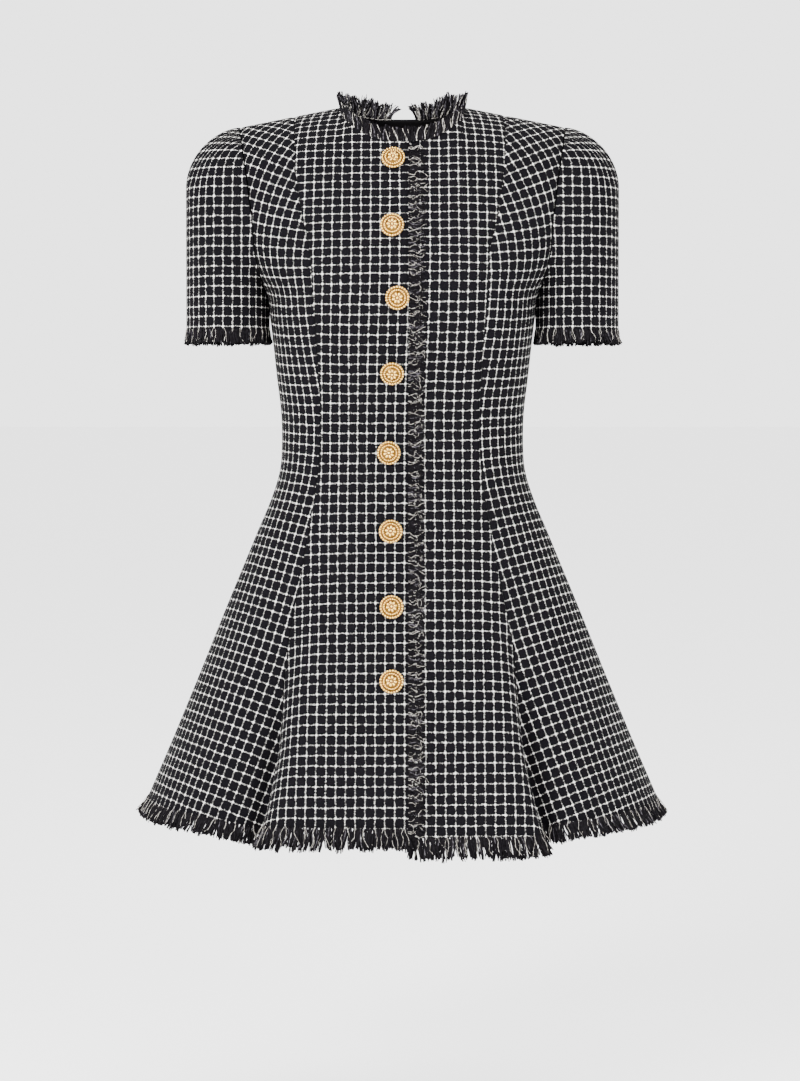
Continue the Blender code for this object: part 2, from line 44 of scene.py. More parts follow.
# Sizes of the whole dress in metres, the same as the CAD's. Left and right are the wearer's, left is +X
dress = {
    "armpit": -0.205,
    "skirtTop": -0.44,
    "hem": -0.756,
    "neckHalfWidth": 0.068,
    "frontNeckDrop": 0.0445,
    "backNeckDrop": 0.004,
    "shoulderSlope": 0.195,
    "shoulderRoll": 0.055,
    "neckRoll": 0.012,
    "chestFullness": 0.25,
    "fullnessFade": (-0.60, -0.36),
    "seamShift": 0.003,
    "seamGap": 0.0003,
    "armholeRise": 0.085,
    "armholeAngle": radians(60),
    "armholeCurve": 0.62,
    "lapEdge": 0.006,
    "underlap": 0.030,
    "recess": 0.0028,
    "recessEnd": 0.034,
    "recessBlend": 0.026,
    "foldGrowth": 1.2,
    "thickness": 0.0020,
}

# Half width, depth before and behind the side seams, and how far out the princess seams lie
levelColumns = {"halfWidth": 1, "front": 2, "back": 3, "frontSeam": 4, "backSeam": 5}
levelTable = np.array((
    (-0.780, 0.2915, 0.1910, 0.186, 0.1620, 0.154),
    (-0.693, 0.2540, 0.1630, 0.160, 0.1410, 0.132),
    (-0.627, 0.2266, 0.1425, 0.142, 0.1305, 0.117),
    (-0.561, 0.2000, 0.1225, 0.124, 0.1185, 0.103),
    (-0.495, 0.1727, 0.1050, 0.108, 0.1040, 0.089),
    (-0.462, 0.1590, 0.0975, 0.100, 0.0980, 0.083),
    (-0.429, 0.1450, 0.0910, 0.092, 0.0925, 0.078),
    (-0.396, 0.1348, 0.0860, 0.084, 0.0880, 0.074),
    (-0.363, 0.1325, 0.0845, 0.079, 0.0850, 0.072),
    (-0.330, 0.1336, 0.0880, 0.080, 0.0852, 0.074),
    (-0.297, 0.1375, 0.0970, 0.085, 0.0865, 0.078),
    (-0.264, 0.1410, 0.1080, 0.092, 0.0880, 0.083),
    (-0.230, 0.1450, 0.1160, 0.098, 0.0905, 0.088),
    (-0.205, 0.1485, 0.1185, 0.101, 0.0925, 0.091),
    (-0.180, 0.1645, 0.1170, 0.103, 0.0935, 0.094),
    (-0.155, 0.1780, 0.1120, 0.103, 0.0960, 0.097),
    (-0.124, 0.1860, 0.1045, 0.101, 0.1030, 0.101),
    (-0.080, 0.1930, 0.0900, 0.092, 0.1100, 0.106),
    (-0.044, 0.2000, 0.0755, 0.080, 0.1125, 0.110),
    (0.020, 0.2130, 0.0600, 0.050, 0.1160, 0.117),
))

# The skirt's folds at its princess seams: a crest on the centre panel and a valley in the seam
folds = {
    "frontRight": {"crest": 0.010, "from": 0.045, "width": 0.035, "valley": 0.024,
                   "centre": 0.022, "side": 0.040, "crease": 0.015},
    "frontLeft": {"crest": 0.014, "from": 0.035, "width": 0.040, "valley": 0.022,
                  "centre": 0.014, "side": 0.036, "crease": 0.021},
    "back": {"crest": 0.008, "from": 0.050, "width": 0.045, "valley": 0.020,
             "centre": 0.030, "side": 0.044, "crease": 0.009},
}
crease = {"from": 0.003, "width": 0.009, "start": -0.56, "full": -0.76}

check = {"width": 0.0101, "height": 0.0107, "waist": -0.400}


def ease(value, start, end):
    share = np.clip((value - start) / (end - start), 0.0, 1.0)
    return share * share * (3 - 2 * share)


def mix(first, second, share):
    return first + (second - first) * share


def level(height, column):
    # a smooth curve through the table's rows
    z, v = levelTable[:, 0], levelTable[:, levelColumns[column]]
    height = np.clip(height, z[0], z[-1])
    i = np.clip(np.searchsorted(z, height, side="right") - 1, 0, len(z) - 2)
    low, high = np.maximum(np.arange(len(z)) - 1, 0), np.minimum(np.arange(len(z)) + 1, len(z) - 1)
    slope = (v[high] - v[low]) / (z[high] - z[low])
    span = z[i + 1] - z[i]
    t = (height - z[i]) / span
    return ((2 * t**3 - 3 * t**2 + 1) * v[i] + (t**3 - 2 * t**2 + t) * span * slope[i]
            + (3 * t**2 - 2 * t**3) * v[i + 1] + (t**3 - t**2) * span * slope[i + 1])


def shoulderHeight(across):
    return -dress["shoulderSlope"] * (np.abs(across) - dress["neckHalfWidth"])


def neckHeight(across, back):
    drop = dress["backNeckDrop"] if back else dress["frontNeckDrop"]
    return -drop * np.sqrt(np.clip(1 - (across / dress["neckHalfWidth"]) ** 2, 0, 1))


def seamAngle(side, height, back):
    across = level(height, "backSeam" if back else "frontSeam")
    if not back:
        across = across - side * dress["seamShift"]
    return np.arcsin(across / level(height, "halfWidth"))


def armholeAngle(height):
    rise = np.clip((height - dress["armpit"]) / dress["armholeRise"], 0, 1)
    curve = (1 - (1 - rise) ** 2) ** dress["armholeCurve"]
    return pi / 2 - (pi / 2 - dress["armholeAngle"]) * curve


def foldOffset(angle, height, back):
    strength = ease(height, dress["skirtTop"], dress["hem"]) ** dress["foldGrowth"]
    total = 0
    for side, name in ((-1, "frontRight"), (1, "frontLeft")):
        fold = folds["back" if back else name]
        past = (np.abs(angle) - seamAngle(side, height, back)) * level(height, "halfWidth")
        crest = fold["crest"] * np.exp(-(((past + fold["from"]) / fold["width"]) ** 2))
        flank = np.where(past < 0, fold["centre"], fold["side"])
        valley = fold["valley"] * np.exp(-((past / flank) ** 2))
        # the cloth beside the seam folds in deeper still towards the hem
        dip = fold["crease"] * np.exp(-(((past - crease["from"]) / crease["width"]) ** 2))
        dip = dip * ease(height, crease["start"], crease["full"])
        total = total + np.where(angle * side > 0, strength * (crest - valley) - dip, 0)
    return total


def bodyPoint(angle, height, back):
    # the outer face of the cloth, by the angle from the middle of the front or back
    angle, height = np.broadcast_arrays(angle, height)
    width, depth = level(height, "halfWidth"), level(height, "back" if back else "front")
    across = width * np.sin(angle)
    fullness = dress["chestFullness"] * ease(height, *dress["fullnessFade"])
    rollShare = np.clip((across / dress["neckHalfWidth"]) ** 2, 0, 1)
    rollHeight = mix(dress["neckRoll"], dress["shoulderRoll"], rollShare)
    share = np.clip((shoulderHeight(across) - height) / rollHeight, 0, 1)
    roll = np.sqrt(1 - (1 - share) ** 2)
    along = depth * np.cos(angle) * (1 + fullness * np.sin(angle) ** 2) * roll
    out = np.stack((depth * np.sin(angle), width * np.cos(angle)))
    out = out / np.linalg.norm(out, axis=0) * foldOffset(angle, height, back)
    along = np.maximum(along + out[1], dress["seamGap"] / 2)
    return np.stack((across + out[0], along if back else -along, height), axis=-1)


def unit(vectors):
    return vectors / np.maximum(np.linalg.norm(vectors, axis=-1, keepdims=True), 1e-12)


def bodyNormal(angle, height, back):
    step = 1e-4
    low, high = angle - step, angle + step
    width = level(height, "halfWidth")
    nearTop = height > dress["armpit"] + dress["armholeRise"] / 2
    # near the shoulder a step across keeps its distance from the shoulder seam
    here = shoulderHeight(width * np.sin(angle))
    lowHeight = height + np.where(nearTop, shoulderHeight(width * np.sin(low)) - here, 0)
    highHeight = height + np.where(nearTop, shoulderHeight(width * np.sin(high)) - here, 0)
    across = bodyPoint(high, highHeight, back) - bodyPoint(low, lowHeight, back)
    above = np.where(nearTop, 0, 1e-4)
    below = np.where(nearTop, 1e-5, 1e-4)
    up = bodyPoint(angle, height + above, back) - bodyPoint(angle, height - below, back)
    normal = unit(np.cross(across, up))
    return -normal if back else normal


def topOf(angleAt, shares, back):
    # where each column ends, on the neckline or the shoulder seam
    height = np.full(len(shares), -0.01)
    for _ in range(12):
        across = np.abs(level(height, "halfWidth") * np.sin(angleAt(shares, height)))
        inside = across < dress["neckHalfWidth"] - 1e-5
        height = np.where(inside, neckHeight(across, back), np.minimum(shoulderHeight(across), 0))
    return height


def armholePoint(turn):
    # turn 0 at the shoulder tip, a quarter at the front, half at the armpit
    tip = topOf(lambda share, height: armholeAngle(height), np.ones(1), False)[0]
    height = mix(dress["armpit"], tip, (1 + np.cos(2 * pi * turn)) / 2)
    front = bodyPoint(armholeAngle(height), height, False)
    rear = bodyPoint(armholeAngle(height), height, True)
    return np.where((turn > 0.5)[..., None], rear, front)


sleeve = {
    "hem": -0.2435,
    "centre": (0.191, -0.004),
    "halfWidth": 0.0455,
    "halfDepth": 0.058,
    "capShare": 0.304,
    "capPower": 1.2,
    "gap": 0.0004,
    "columns": 64,
    "rows": 48,
    "lastLine": -0.0035,
}


def sleevePoint(turn, drop):
    turn, drop = np.broadcast_arrays(turn % 1.0, drop)
    start = armholePoint(turn)
    lift = np.exp(-((turn - 0.5) / 0.12) ** 2)
    start = start + sleeve["gap"] * np.stack((np.ones_like(turn), np.zeros_like(turn), lift), axis=-1)
    end = np.stack((sleeve["centre"][0] + sleeve["halfWidth"] * np.cos(2 * pi * turn),
                    sleeve["centre"][1] - sleeve["halfDepth"] * np.sin(2 * pi * turn),
                    np.full(turn.shape, sleeve["hem"])), axis=-1)
    curve = np.minimum(drop / 0.5, 1.0) * pi / 2
    out = np.sin(curve) ** sleeve["capPower"]
    down = sleeve["capShare"] * (1 - np.cos(curve))
    down = down + (1 - sleeve["capShare"]) * np.maximum(drop - 0.5, 0.0) / 0.5
    share = np.stack((out, out, down), axis=-1)
    return mix(start, end, share)


def hexLinear(code, alpha=1.0):
    channels = [int(code[i:i + 2], 16) / 255 for i in (1, 3, 5)]
    return tuple(c / 12.92 if c <= 0.04045 else ((c + 0.055) / 1.055) ** 2.4 for c in channels) + (alpha,)


def addNode(tree, kind, settings=None, inputs=None):
    # inputs hold values, output sockets to link, or nodes, whose first output is linked
    node = tree.nodes.new(kind)
    for name, value in (settings or {}).items():
        setattr(node, name, value)
    for key, value in (inputs or {}).items():
        if isinstance(value, bpy.types.Node):
            value = value.outputs[0]
        if isinstance(value, bpy.types.NodeSocket):
            tree.links.new(value, node.inputs[key])
        else:
            node.inputs[key].default_value = value
    return node


def newMaterial(name, surface):
    # surface holds constants for the shader's own sockets
    material = bpy.data.materials.new(name)
    material.use_nodes = True
    shader = material.node_tree.nodes["Principled BSDF"]
    for key, value in surface.items():
        shader.inputs[key].default_value = value
    return material, material.node_tree, shader


# Boucle tweed, woven from black lumpy yarn with two off-white slub yarns at each line of the check.
# It is matt and woolly, with a broken twisted white line and a bright lump where two lines cross.
tweedLook = {
    "ground": "#040405",
    "groundLight": "#141217",
    "white": "#fbf9f4",
    "whiteShade": "#c9c6c1",
    "strand": 0.018,          # half the width of one white yarn, in checks
    "twist": 0.046,           # how far the two yarns swing apart
    "twists": 1.5,            # crossings of the pair in each check
    "breaks": 5.2,            # how often a yarn dips under the black ones, in each check
    "lump": 0.175,            # reach of the bright lump at a crossing
    "star": 0.8,              # under 1, the lump reaches out along its lines
    "yarnsPerCheck": 7,
    "bump": 0.0005,
    "drift": 0.13,            # how far the lines wander, in checks
    "driftScale": 0.9,
    "fuzzScale": 16.0,        # loose fibres
    "patchScale": 3.1,        # thicker and thinner stretches of yarn
    "speckScale": 5.5,        # dark specks on the white yarns
    "ragged": 0.10,           # how far fibres fray the edge of a white yarn
    "lumpRagged": 0.16,
    "lumpUneven": 0.14,
    "sunk": 0.07,             # how much of a yarn still shows where it dips under
    "weaveRelief": 0.22,
    "fuzzRelief": 0.8,
    "whiteRelief": 0.6,
}
# settings that many nodes share
eased = {"interpolation_type": "SMOOTHSTEP"}
flatNoise = {"noise_dimensions": "2D"}
colorMix = {"data_type": "RGBA"}
product = {"operation": "MULTIPLY"}
scaledSum = {"operation": "MULTIPLY_ADD"}
difference = {"operation": "SUBTRACT"}
larger = {"operation": "MAXIMUM"}


def makeTweed():
    look = tweedLook
    material, tree, shader = newMaterial("woven boucle tweed, windowpane check", {
        "Roughness": 0.95, "Specular IOR Level": 0.03,
    })
    uv = addNode(tree, "ShaderNodeUVMap", {"uv_map": "cut"})
    cells = addNode(tree, "ShaderNodeMapping", None, {
        "Vector": uv, "Scale": (1 / check["width"], 1 / check["height"], 1)})
    # each line wanders a little, as loosely beaten slub yarn does
    drift = addNode(tree, "ShaderNodeTexNoise", flatNoise, {
        "Vector": cells, "Scale": look["driftScale"], "Detail": 2.0}).outputs["Color"]
    drift = addNode(tree, "ShaderNodeVectorMath", difference, {0: drift, 1: (0.5, 0.5, 0.5)})
    moved = addNode(tree, "ShaderNodeVectorMath", scaledSum, {
        0: drift, 1: (look["drift"], look["drift"], 0), 2: cells})
    split = addNode(tree, "ShaderNodeSeparateXYZ", None, {"Vector": moved})
    fuzz = addNode(tree, "ShaderNodeTexNoise", flatNoise, {
        "Vector": cells, "Scale": look["fuzzScale"], "Detail": 3.0, "Roughness": 0.75})
    patches = addNode(tree, "ShaderNodeTexNoise", flatNoise, {
        "Vector": cells, "Scale": look["patchScale"], "Detail": 2.0})
    rag = addNode(tree, "ShaderNodeMath", difference, {0: fuzz, 1: 0.5})
    uneven = addNode(tree, "ShaderNodeMath", difference, {0: patches, 1: 0.5})
    specks = addNode(tree, "ShaderNodeTexNoise", flatNoise, {
        "Vector": cells, "Scale": look["speckScale"], "Detail": 1.0})
    specks = addNode(tree, "ShaderNodeMapRange", eased, {"Value": specks, "From Min": 0.42, "From Max": 0.58})
    specks = addNode(tree, "ShaderNodeMath", scaledSum, {0: specks, 1: 0.72, 2: 0.28})

    arms, lines = [], []
    for along, across in ((1, 0), (0, 1)):
        place, run = split.outputs[across], split.outputs[along]
        number = addNode(tree, "ShaderNodeMath", {"operation": "ROUND"}, {0: place})
        offset = addNode(tree, "ShaderNodeMath", difference, {0: place, 1: number})
        distance = addNode(tree, "ShaderNodeMath", {"operation": "ABSOLUTE"}, {0: offset})
        arms.append(addNode(tree, "ShaderNodeMath", {"operation": "POWER"}, {0: distance, 1: look["star"]}))
        # the two yarns of the pair swing apart and cross, each line's in its own rhythm
        chance = addNode(tree, "ShaderNodeTexWhiteNoise", {"noise_dimensions": "1D"}, {"W": number})
        turn = addNode(tree, "ShaderNodeMath", product, {0: chance, 1: 40.0})
        turn = addNode(tree, "ShaderNodeMath", scaledSum, {0: run, 1: 2 * pi * look["twists"], 2: turn})
        turn = addNode(tree, "ShaderNodeMath", scaledSum, {0: patches, 1: 5.0, 2: turn})
        swing = addNode(tree, "ShaderNodeMath", {"operation": "SINE"}, {0: turn})
        swing = addNode(tree, "ShaderNodeMath", product, {0: swing, 1: look["twist"]})
        # each yarn dips under the black ones here and there
        spotY = addNode(tree, "ShaderNodeMath", product, {0: number, 1: 5.37})
        pair = []
        for sign in (1, -1):
            away = addNode(tree, "ShaderNodeMath", scaledSum, {0: swing, 1: sign, 2: offset})
            away = addNode(tree, "ShaderNodeMath", {"operation": "ABSOLUTE"}, {0: away})
            away = addNode(tree, "ShaderNodeMath", scaledSum, {0: rag, 1: look["ragged"], 2: away})
            yarn = addNode(tree, "ShaderNodeMapRange", eased, {
                "Value": away, "From Min": look["strand"] * 1.6, "From Max": look["strand"] * 0.5})
            spotX = addNode(tree, "ShaderNodeMath", scaledSum, {0: run, 1: look["breaks"], 2: 37.0 * sign})
            spot = addNode(tree, "ShaderNodeCombineXYZ", None, {"X": spotX, "Y": spotY, "Z": 11.0 * along})
            above = addNode(tree, "ShaderNodeTexNoise", None, {"Vector": spot, "Scale": 1.0, "Detail": 1.0})
            shown = addNode(tree, "ShaderNodeMapRange", eased, {
                "Value": above, "From Min": 0.46, "From Max": 0.56})
            shown = addNode(tree, "ShaderNodeMath", scaledSum, {0: shown, 1: 1 - look["sunk"], 2: look["sunk"]})
            pair.append(addNode(tree, "ShaderNodeMath", product, {0: yarn, 1: shown}))
        both = addNode(tree, "ShaderNodeMath", larger, {0: pair[0], 1: pair[1]})
        lines.append(addNode(tree, "ShaderNodeMath", product, {0: both, 1: specks}))
    reach = addNode(tree, "ShaderNodeMath", {"operation": "ADD"}, {0: arms[0], 1: arms[1]})
    reach = addNode(tree, "ShaderNodeMath", scaledSum, {0: rag, 1: look["lumpRagged"], 2: reach})
    reach = addNode(tree, "ShaderNodeMath", scaledSum, {0: uneven, 1: look["lumpUneven"], 2: reach})
    size = look["lump"] ** look["star"]
    lump = addNode(tree, "ShaderNodeMapRange", eased, {
        "Value": reach, "From Min": size * 1.15, "From Max": size * 0.80})
    white = addNode(tree, "ShaderNodeMath", larger, {0: lines[0], 1: lines[1]})
    white = addNode(tree, "ShaderNodeMath", larger, {0: white, 1: lump})

    dusty = addNode(tree, "ShaderNodeMapRange", eased, {"Value": fuzz, "From Min": 0.42, "From Max": 0.72})
    ground = addNode(tree, "ShaderNodeMix", colorMix, {
        "Factor": dusty, "A": hexLinear(look["ground"]), "B": hexLinear(look["groundLight"])})
    clean = addNode(tree, "ShaderNodeMapRange", eased, {"Value": fuzz, "From Min": 0.35, "From Max": 0.60})
    pale = addNode(tree, "ShaderNodeMix", colorMix, {
        "Factor": clean, "A": hexLinear(look["whiteShade"]), "B": hexLinear(look["white"])})
    color = addNode(tree, "ShaderNodeMix", colorMix, {
        "Factor": white, "A": ground.outputs["Result"], "B": pale.outputs["Result"]})
    tree.links.new(color.outputs["Result"], shader.inputs["Base Color"])

    # relief: lumpy black yarns about 1.5 mm apart, with the white pair lying on top
    waves = []
    for axis in (0, 1):
        beat = addNode(tree, "ShaderNodeMath", product, {0: split.outputs[axis], 1: pi * look["yarnsPerCheck"]})
        waves.append(addNode(tree, "ShaderNodeMath", {"operation": "SINE"}, {0: beat}))
    weave = addNode(tree, "ShaderNodeMath", product, {0: waves[0], 1: waves[1]})
    height = addNode(tree, "ShaderNodeMath", product, {0: fuzz, 1: look["fuzzRelief"]})
    height = addNode(tree, "ShaderNodeMath", scaledSum, {0: weave, 1: look["weaveRelief"], 2: height})
    height = addNode(tree, "ShaderNodeMath", scaledSum, {0: white, 1: look["whiteRelief"], 2: height})
    bump = addNode(tree, "ShaderNodeBump", None, {
        "Height": height, "Distance": look["bump"], "Strength": 0.9})
    tree.links.new(bump.outputs["Normal"], shader.inputs["Normal"])
    return material


# Smooth black facing and lining cloth, a tight plain weave with a soft gloss
def makeLining():
    material, tree, shader = newMaterial("black woven crepe lining", {
        "Base Color": hexLinear("#060506"), "Roughness": 0.7, "Specular IOR Level": 0.05,
    })
    place = addNode(tree, "ShaderNodeTexCoord").outputs["Object"]
    nap = addNode(tree, "ShaderNodeTexNoise", None, {"Vector": place, "Scale": 900.0, "Detail": 2.0})
    bump = addNode(tree, "ShaderNodeBump", None, {"Height": nap, "Distance": 0.0002, "Strength": 0.4})
    tree.links.new(bump.outputs["Normal"], shader.inputs["Normal"])
    return material


# Unravelled yarn: spun, soft, with a fibre's low gloss. Each is a little lighter or darker along its length
def makeYarn(name, dark, light):
    material, tree, shader = newMaterial(name, {
        "Roughness": 0.8, "Specular IOR Level": 0.06,
    })
    place = addNode(tree, "ShaderNodeTexCoord").outputs["Object"]
    streak = addNode(tree, "ShaderNodeTexNoise", None, {"Vector": place, "Scale": 420.0, "Detail": 3.0})
    share = addNode(tree, "ShaderNodeMapRange", eased, {"Value": streak, "From Min": 0.35, "From Max": 0.65})
    color = addNode(tree, "ShaderNodeMix", colorMix, {
        "Factor": share, "A": hexLinear(dark), "B": hexLinear(light)})
    tree.links.new(color.outputs["Result"], shader.inputs["Base Color"])
    return material


# Gold plating on die-cast zinc, with painted light: a painted highlight, warm and bright, on the tops of its
# beads, and painted shade, browner, in the recesses and down the beads' sides
def makeGold():
    material, tree, shader = newMaterial("polished gold plate on die-cast metal", {
        "Metallic": 1.0, "Roughness": 0.24,
    })
    paintedShadeAndHighlight = addNode(tree, "ShaderNodeAttribute", {"attribute_name": "paintedShadeAndHighlight"}).outputs["Fac"]
    place = addNode(tree, "ShaderNodeTexCoord").outputs["Object"]
    wear = addNode(tree, "ShaderNodeTexNoise", None, {"Vector": place, "Scale": 500.0, "Detail": 3.0})
    wear = addNode(tree, "ShaderNodeMath", difference, {0: wear, 1: 0.5})
    share = addNode(tree, "ShaderNodeMath", {"operation": "MULTIPLY_ADD", "use_clamp": True}, {
        0: wear, 1: 0.5, 2: paintedShadeAndHighlight})
    # painted shade in brown and painted highlight in bright gold, mixed by the painted light on each vertex and
    # varied at random by the noise
    color = addNode(tree, "ShaderNodeMix", colorMix, {
        "Factor": share, "A": hexLinear("#5a390f"), "B": hexLinear("#ffd070")})
    rough = addNode(tree, "ShaderNodeMapRange", None, {"Value": share, "To Min": 0.40, "To Max": 0.12})
    tree.links.new(color.outputs["Result"], shader.inputs["Base Color"])
    tree.links.new(rough.outputs["Result"], shader.inputs["Roughness"])
    return material


tweed = makeTweed()
lining = makeLining()
blackYarn = makeYarn("unravelled black yarn", "#050406", "#100e11")
# grey yarns mixed among the black ones are painted sheen of the black yarn, with lighter painted streaks along
# their length
sheenGreyYarn = makeYarn("black yarn's painted grey sheen", "#1b191c", "#514e53")
whiteYarn = makeYarn("unravelled off-white yarn", "#625e5a", "#cbc7bf")
gold = makeGold()
print("materials made")


def addPiece(name, mesh, node, slotName, materials):
    piece = bpy.data.objects.new(name, mesh)
    bpy.context.scene.collection.objects.link(piece)
    for material in materials:
        mesh.materials.append(material)
    mesh.shade_smooth()
    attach(piece, "root")
    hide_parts(node)
    return piece


def lengthsOf(points, rowStep, columnStep):
    rows, columns = points.shape[:2]
    near = (slice(0, rows - rowStep), slice(max(0, -columnStep), columns - max(0, columnStep)))
    far = (slice(rowStep, rows), slice(max(0, columnStep), columns - max(0, -columnStep)))
    return near, far, np.linalg.norm(points[far] - points[near], axis=-1)


def settle(flat, points, steps, column):
    # pulls the flat net until each thread and diagonal has its length on the body again
    links = [lengthsOf(points, *step) for step in ((0, 1), (1, 0), (1, 1), (1, -1))]
    for _ in range(steps):
        shift = np.zeros_like(flat)
        for near, far, rest in links:
            run = flat[far] - flat[near]
            now = np.maximum(np.linalg.norm(run, axis=-1), 1e-9)
            pull = run * (0.5 * (1 - rest / now))[..., None]
            shift[near] += pull
            shift[far] -= pull
        flat += 0.35 * shift
        if column is not None:
            flat[:, column, 0] = 0
    return flat


def between(net):
    taller = np.empty((2 * len(net) - 1,) + net.shape[1:])
    taller[::2], taller[1::2] = net, (net[1:] + net[:-1]) / 2
    return taller


def unroll(points, column=None):
    # the flat shape that the panel was cut to, coarse first and then finer, with one column kept straight
    flat = None
    for stride in (8, 4, 2, 1):
        net = points[::stride, ::stride]
        straight = None if column is None else column // stride
        if flat is None:
            middle = net.shape[1] // 2 if straight is None else straight
            steps = np.linalg.norm(np.diff(net, axis=1), axis=-1)
            across = np.concatenate((np.zeros((len(net), 1)), np.cumsum(steps, axis=1)), axis=1)
            across = across - across[:, middle:middle + 1]
            rise = np.concatenate(([0], np.cumsum(np.linalg.norm(np.diff(net[:, middle], axis=0), axis=-1))))
            flat = np.stack((across, np.broadcast_to(rise[:, None], across.shape)), axis=-1)
            flat = settle(flat, net, 3000, straight)
        else:
            flat = between(flat)
            flat = between(flat.swapaxes(0, 1)).swapaxes(0, 1)
            flat = settle(np.ascontiguousarray(flat), net, 400, straight)
    return flat


def cutArea(flat):
    a, b = flat[1:, 1:] - flat[:-1, :-1], flat[1:, :-1] - flat[:-1, 1:]
    return float(np.abs(a[..., 0] * b[..., 1] - a[..., 1] * b[..., 0]).sum() / 2)


def gridNormals(points, outward):
    across, up = np.gradient(points, axis=1), np.gradient(points, axis=0)
    normal = unit(np.cross(across, up))
    return normal * np.where((normal * outward).sum(axis=-1, keepdims=True) < 0, -1, 1)


def layCloth(name, points, normals, flat, node, closed=False, lined=False):
    # a grid of cloth put on its points, with its threads as the UV map; a lined one is black all over
    rows, columns = points.shape[0] - 1, points.shape[1] - 1
    made = bmesh.new()
    bmesh.ops.create_grid(made, x_segments=columns, y_segments=rows, size=1.0)
    uv = made.loops.layers.uv.new("cut")
    places = {}
    for vert in made.verts:
        places[vert] = (round((vert.co.y + 1) / 2 * rows), round((vert.co.x + 1) / 2 * columns))
    for face in made.faces:
        for loop in face.loops:
            loop[uv].uv = flat[places[loop.vert]]
    for vert, place in places.items():
        vert.co = points[place]
    made.normal_update()
    if sum(face.normal.dot(Vector(normals[places[face.verts[0]]])) for face in made.faces) < 0:
        bmesh.ops.reverse_faces(made, faces=made.faces)
    if closed:
        bmesh.ops.remove_doubles(made, verts=made.verts, dist=1e-6)
    mesh = bpy.data.meshes.new(name)
    made.to_mesh(mesh)
    made.free()
    slotName, materials = ("lining", [lining]) if lined else ("tweed", [tweed, lining])
    piece = addPiece(name, mesh, node, slotName, materials)
    wall = piece.modifiers.new("cloth", "SOLIDIFY")
    wall.thickness = facing["thickness"] if lined else dress["thickness"]
    wall.offset = -1
    wall.material_offset = len(materials) - 1
    wall.material_offset_rim = len(materials) - 1
    return piece


def declareCloth(piece, flat):
    size = flat.reshape(-1, 2).max(axis=0) - flat.reshape(-1, 2).min(axis=0)
    width, length = round(float(size[0]), 3), round(float(size[1]), 3)
    round(cutArea(flat), 4)
    print(piece.name, "cut", width, "x", length, "m")


def edgesCloser(count):
    # shares across a panel, with more columns by the princess seam for its crease, and some by the side seam
    inner = np.linspace(0.105, 0.97, count - 6)[1:-1]
    return np.concatenate(([0, 0.012, 0.03, 0.053, 0.078, 0.105], inner, [0.97, 0.988, 1]))


facing = {"drop": 0.042, "rows": 16, "gap": 0.0004, "thickness": 0.0012}
panelGrid = {"lowerRows": 88, "chestRows": 40, "seamTurn": 0.0011, "seamReach": 0.0022, "hemFade": 0.040}

panels = {
    "rightFront": {"node": "front_right", "side": -1, "part": "front", "neckColumns": 18, "restColumns": 14,
                   "longer": (0.009, 0.0)},
    "leftFront": {"node": "front_left", "side": 1, "part": "front", "neckColumns": 18, "restColumns": 14,
                  "longer": (0.0085, 0.0085)},
    "rightSideFront": {"node": "side_front_right", "side": -1, "part": "side", "back": False, "columns": 32,
                       "longer": (0.011, -0.001)},
    "leftSideFront": {"node": "side_front_left", "side": 1, "part": "side", "back": False, "columns": 32,
                      "longer": (0.0085, 0.0)},
    "rightSideBack": {"node": "side_back_right", "side": -1, "part": "side", "back": True, "columns": 32},
    "leftSideBack": {"node": "side_back_left", "side": 1, "part": "side", "back": True, "columns": 32},
    "centreBack": {"node": "centre_back", "side": 1, "part": "back"},
}


def cutOf(panel):
    # how a panel is laid out: its angle by share and height, its shares, and where the neckline ends
    side = panel["side"]
    corner = float(np.arcsin(dress["neckHalfWidth"] / level(0.0, "halfWidth")))

    def gap(height):
        return dress["seamGap"] / (1.3 * level(height, "halfWidth"))

    def sideAngle(share, height):
        near = seamAngle(side, height, panel["back"]) + gap(height)
        return side * mix(near, armholeAngle(height), share)

    def frontNear(height):
        across = -dress["underlap"] if side > 0 else -dress["lapEdge"]
        return np.arcsin(across / level(height, "halfWidth"))

    def frontFar(height):
        return seamAngle(side, height, False) - gap(height)

    def frontAngle(share, height):
        return side * mix(frontNear(height), frontFar(height), share)

    def backAngle(share, height):
        return share * (seamAngle(1, height, True) - gap(height))

    if panel["part"] == "side":
        return sideAngle, edgesCloser(panel["columns"]), None
    if panel["part"] == "front":
        neck = (corner - frontNear(0.0)) / (frontFar(0.0) - frontNear(0.0))
        first = neck * np.sin(pi / 2 * np.arange(panel["neckColumns"]) / panel["neckColumns"])
        rest = np.linspace(0, 0.80, panel["restColumns"] - 4)
        rest = mix(neck, 1, np.concatenate((rest, [0.86, 0.905, 0.94, 0.97, 1])))
        return frontAngle, np.concatenate((first, rest)), float(neck)
    neck = float(corner / (seamAngle(1, 0.0, True) - gap(0.0)))
    first = neck * np.sin(pi / 2 * np.arange(12) / 12)
    half = np.concatenate((first, mix(neck, 1, np.linspace(0, 1, 13))))
    return backAngle, np.concatenate((-half[:0:-1], half)), neck


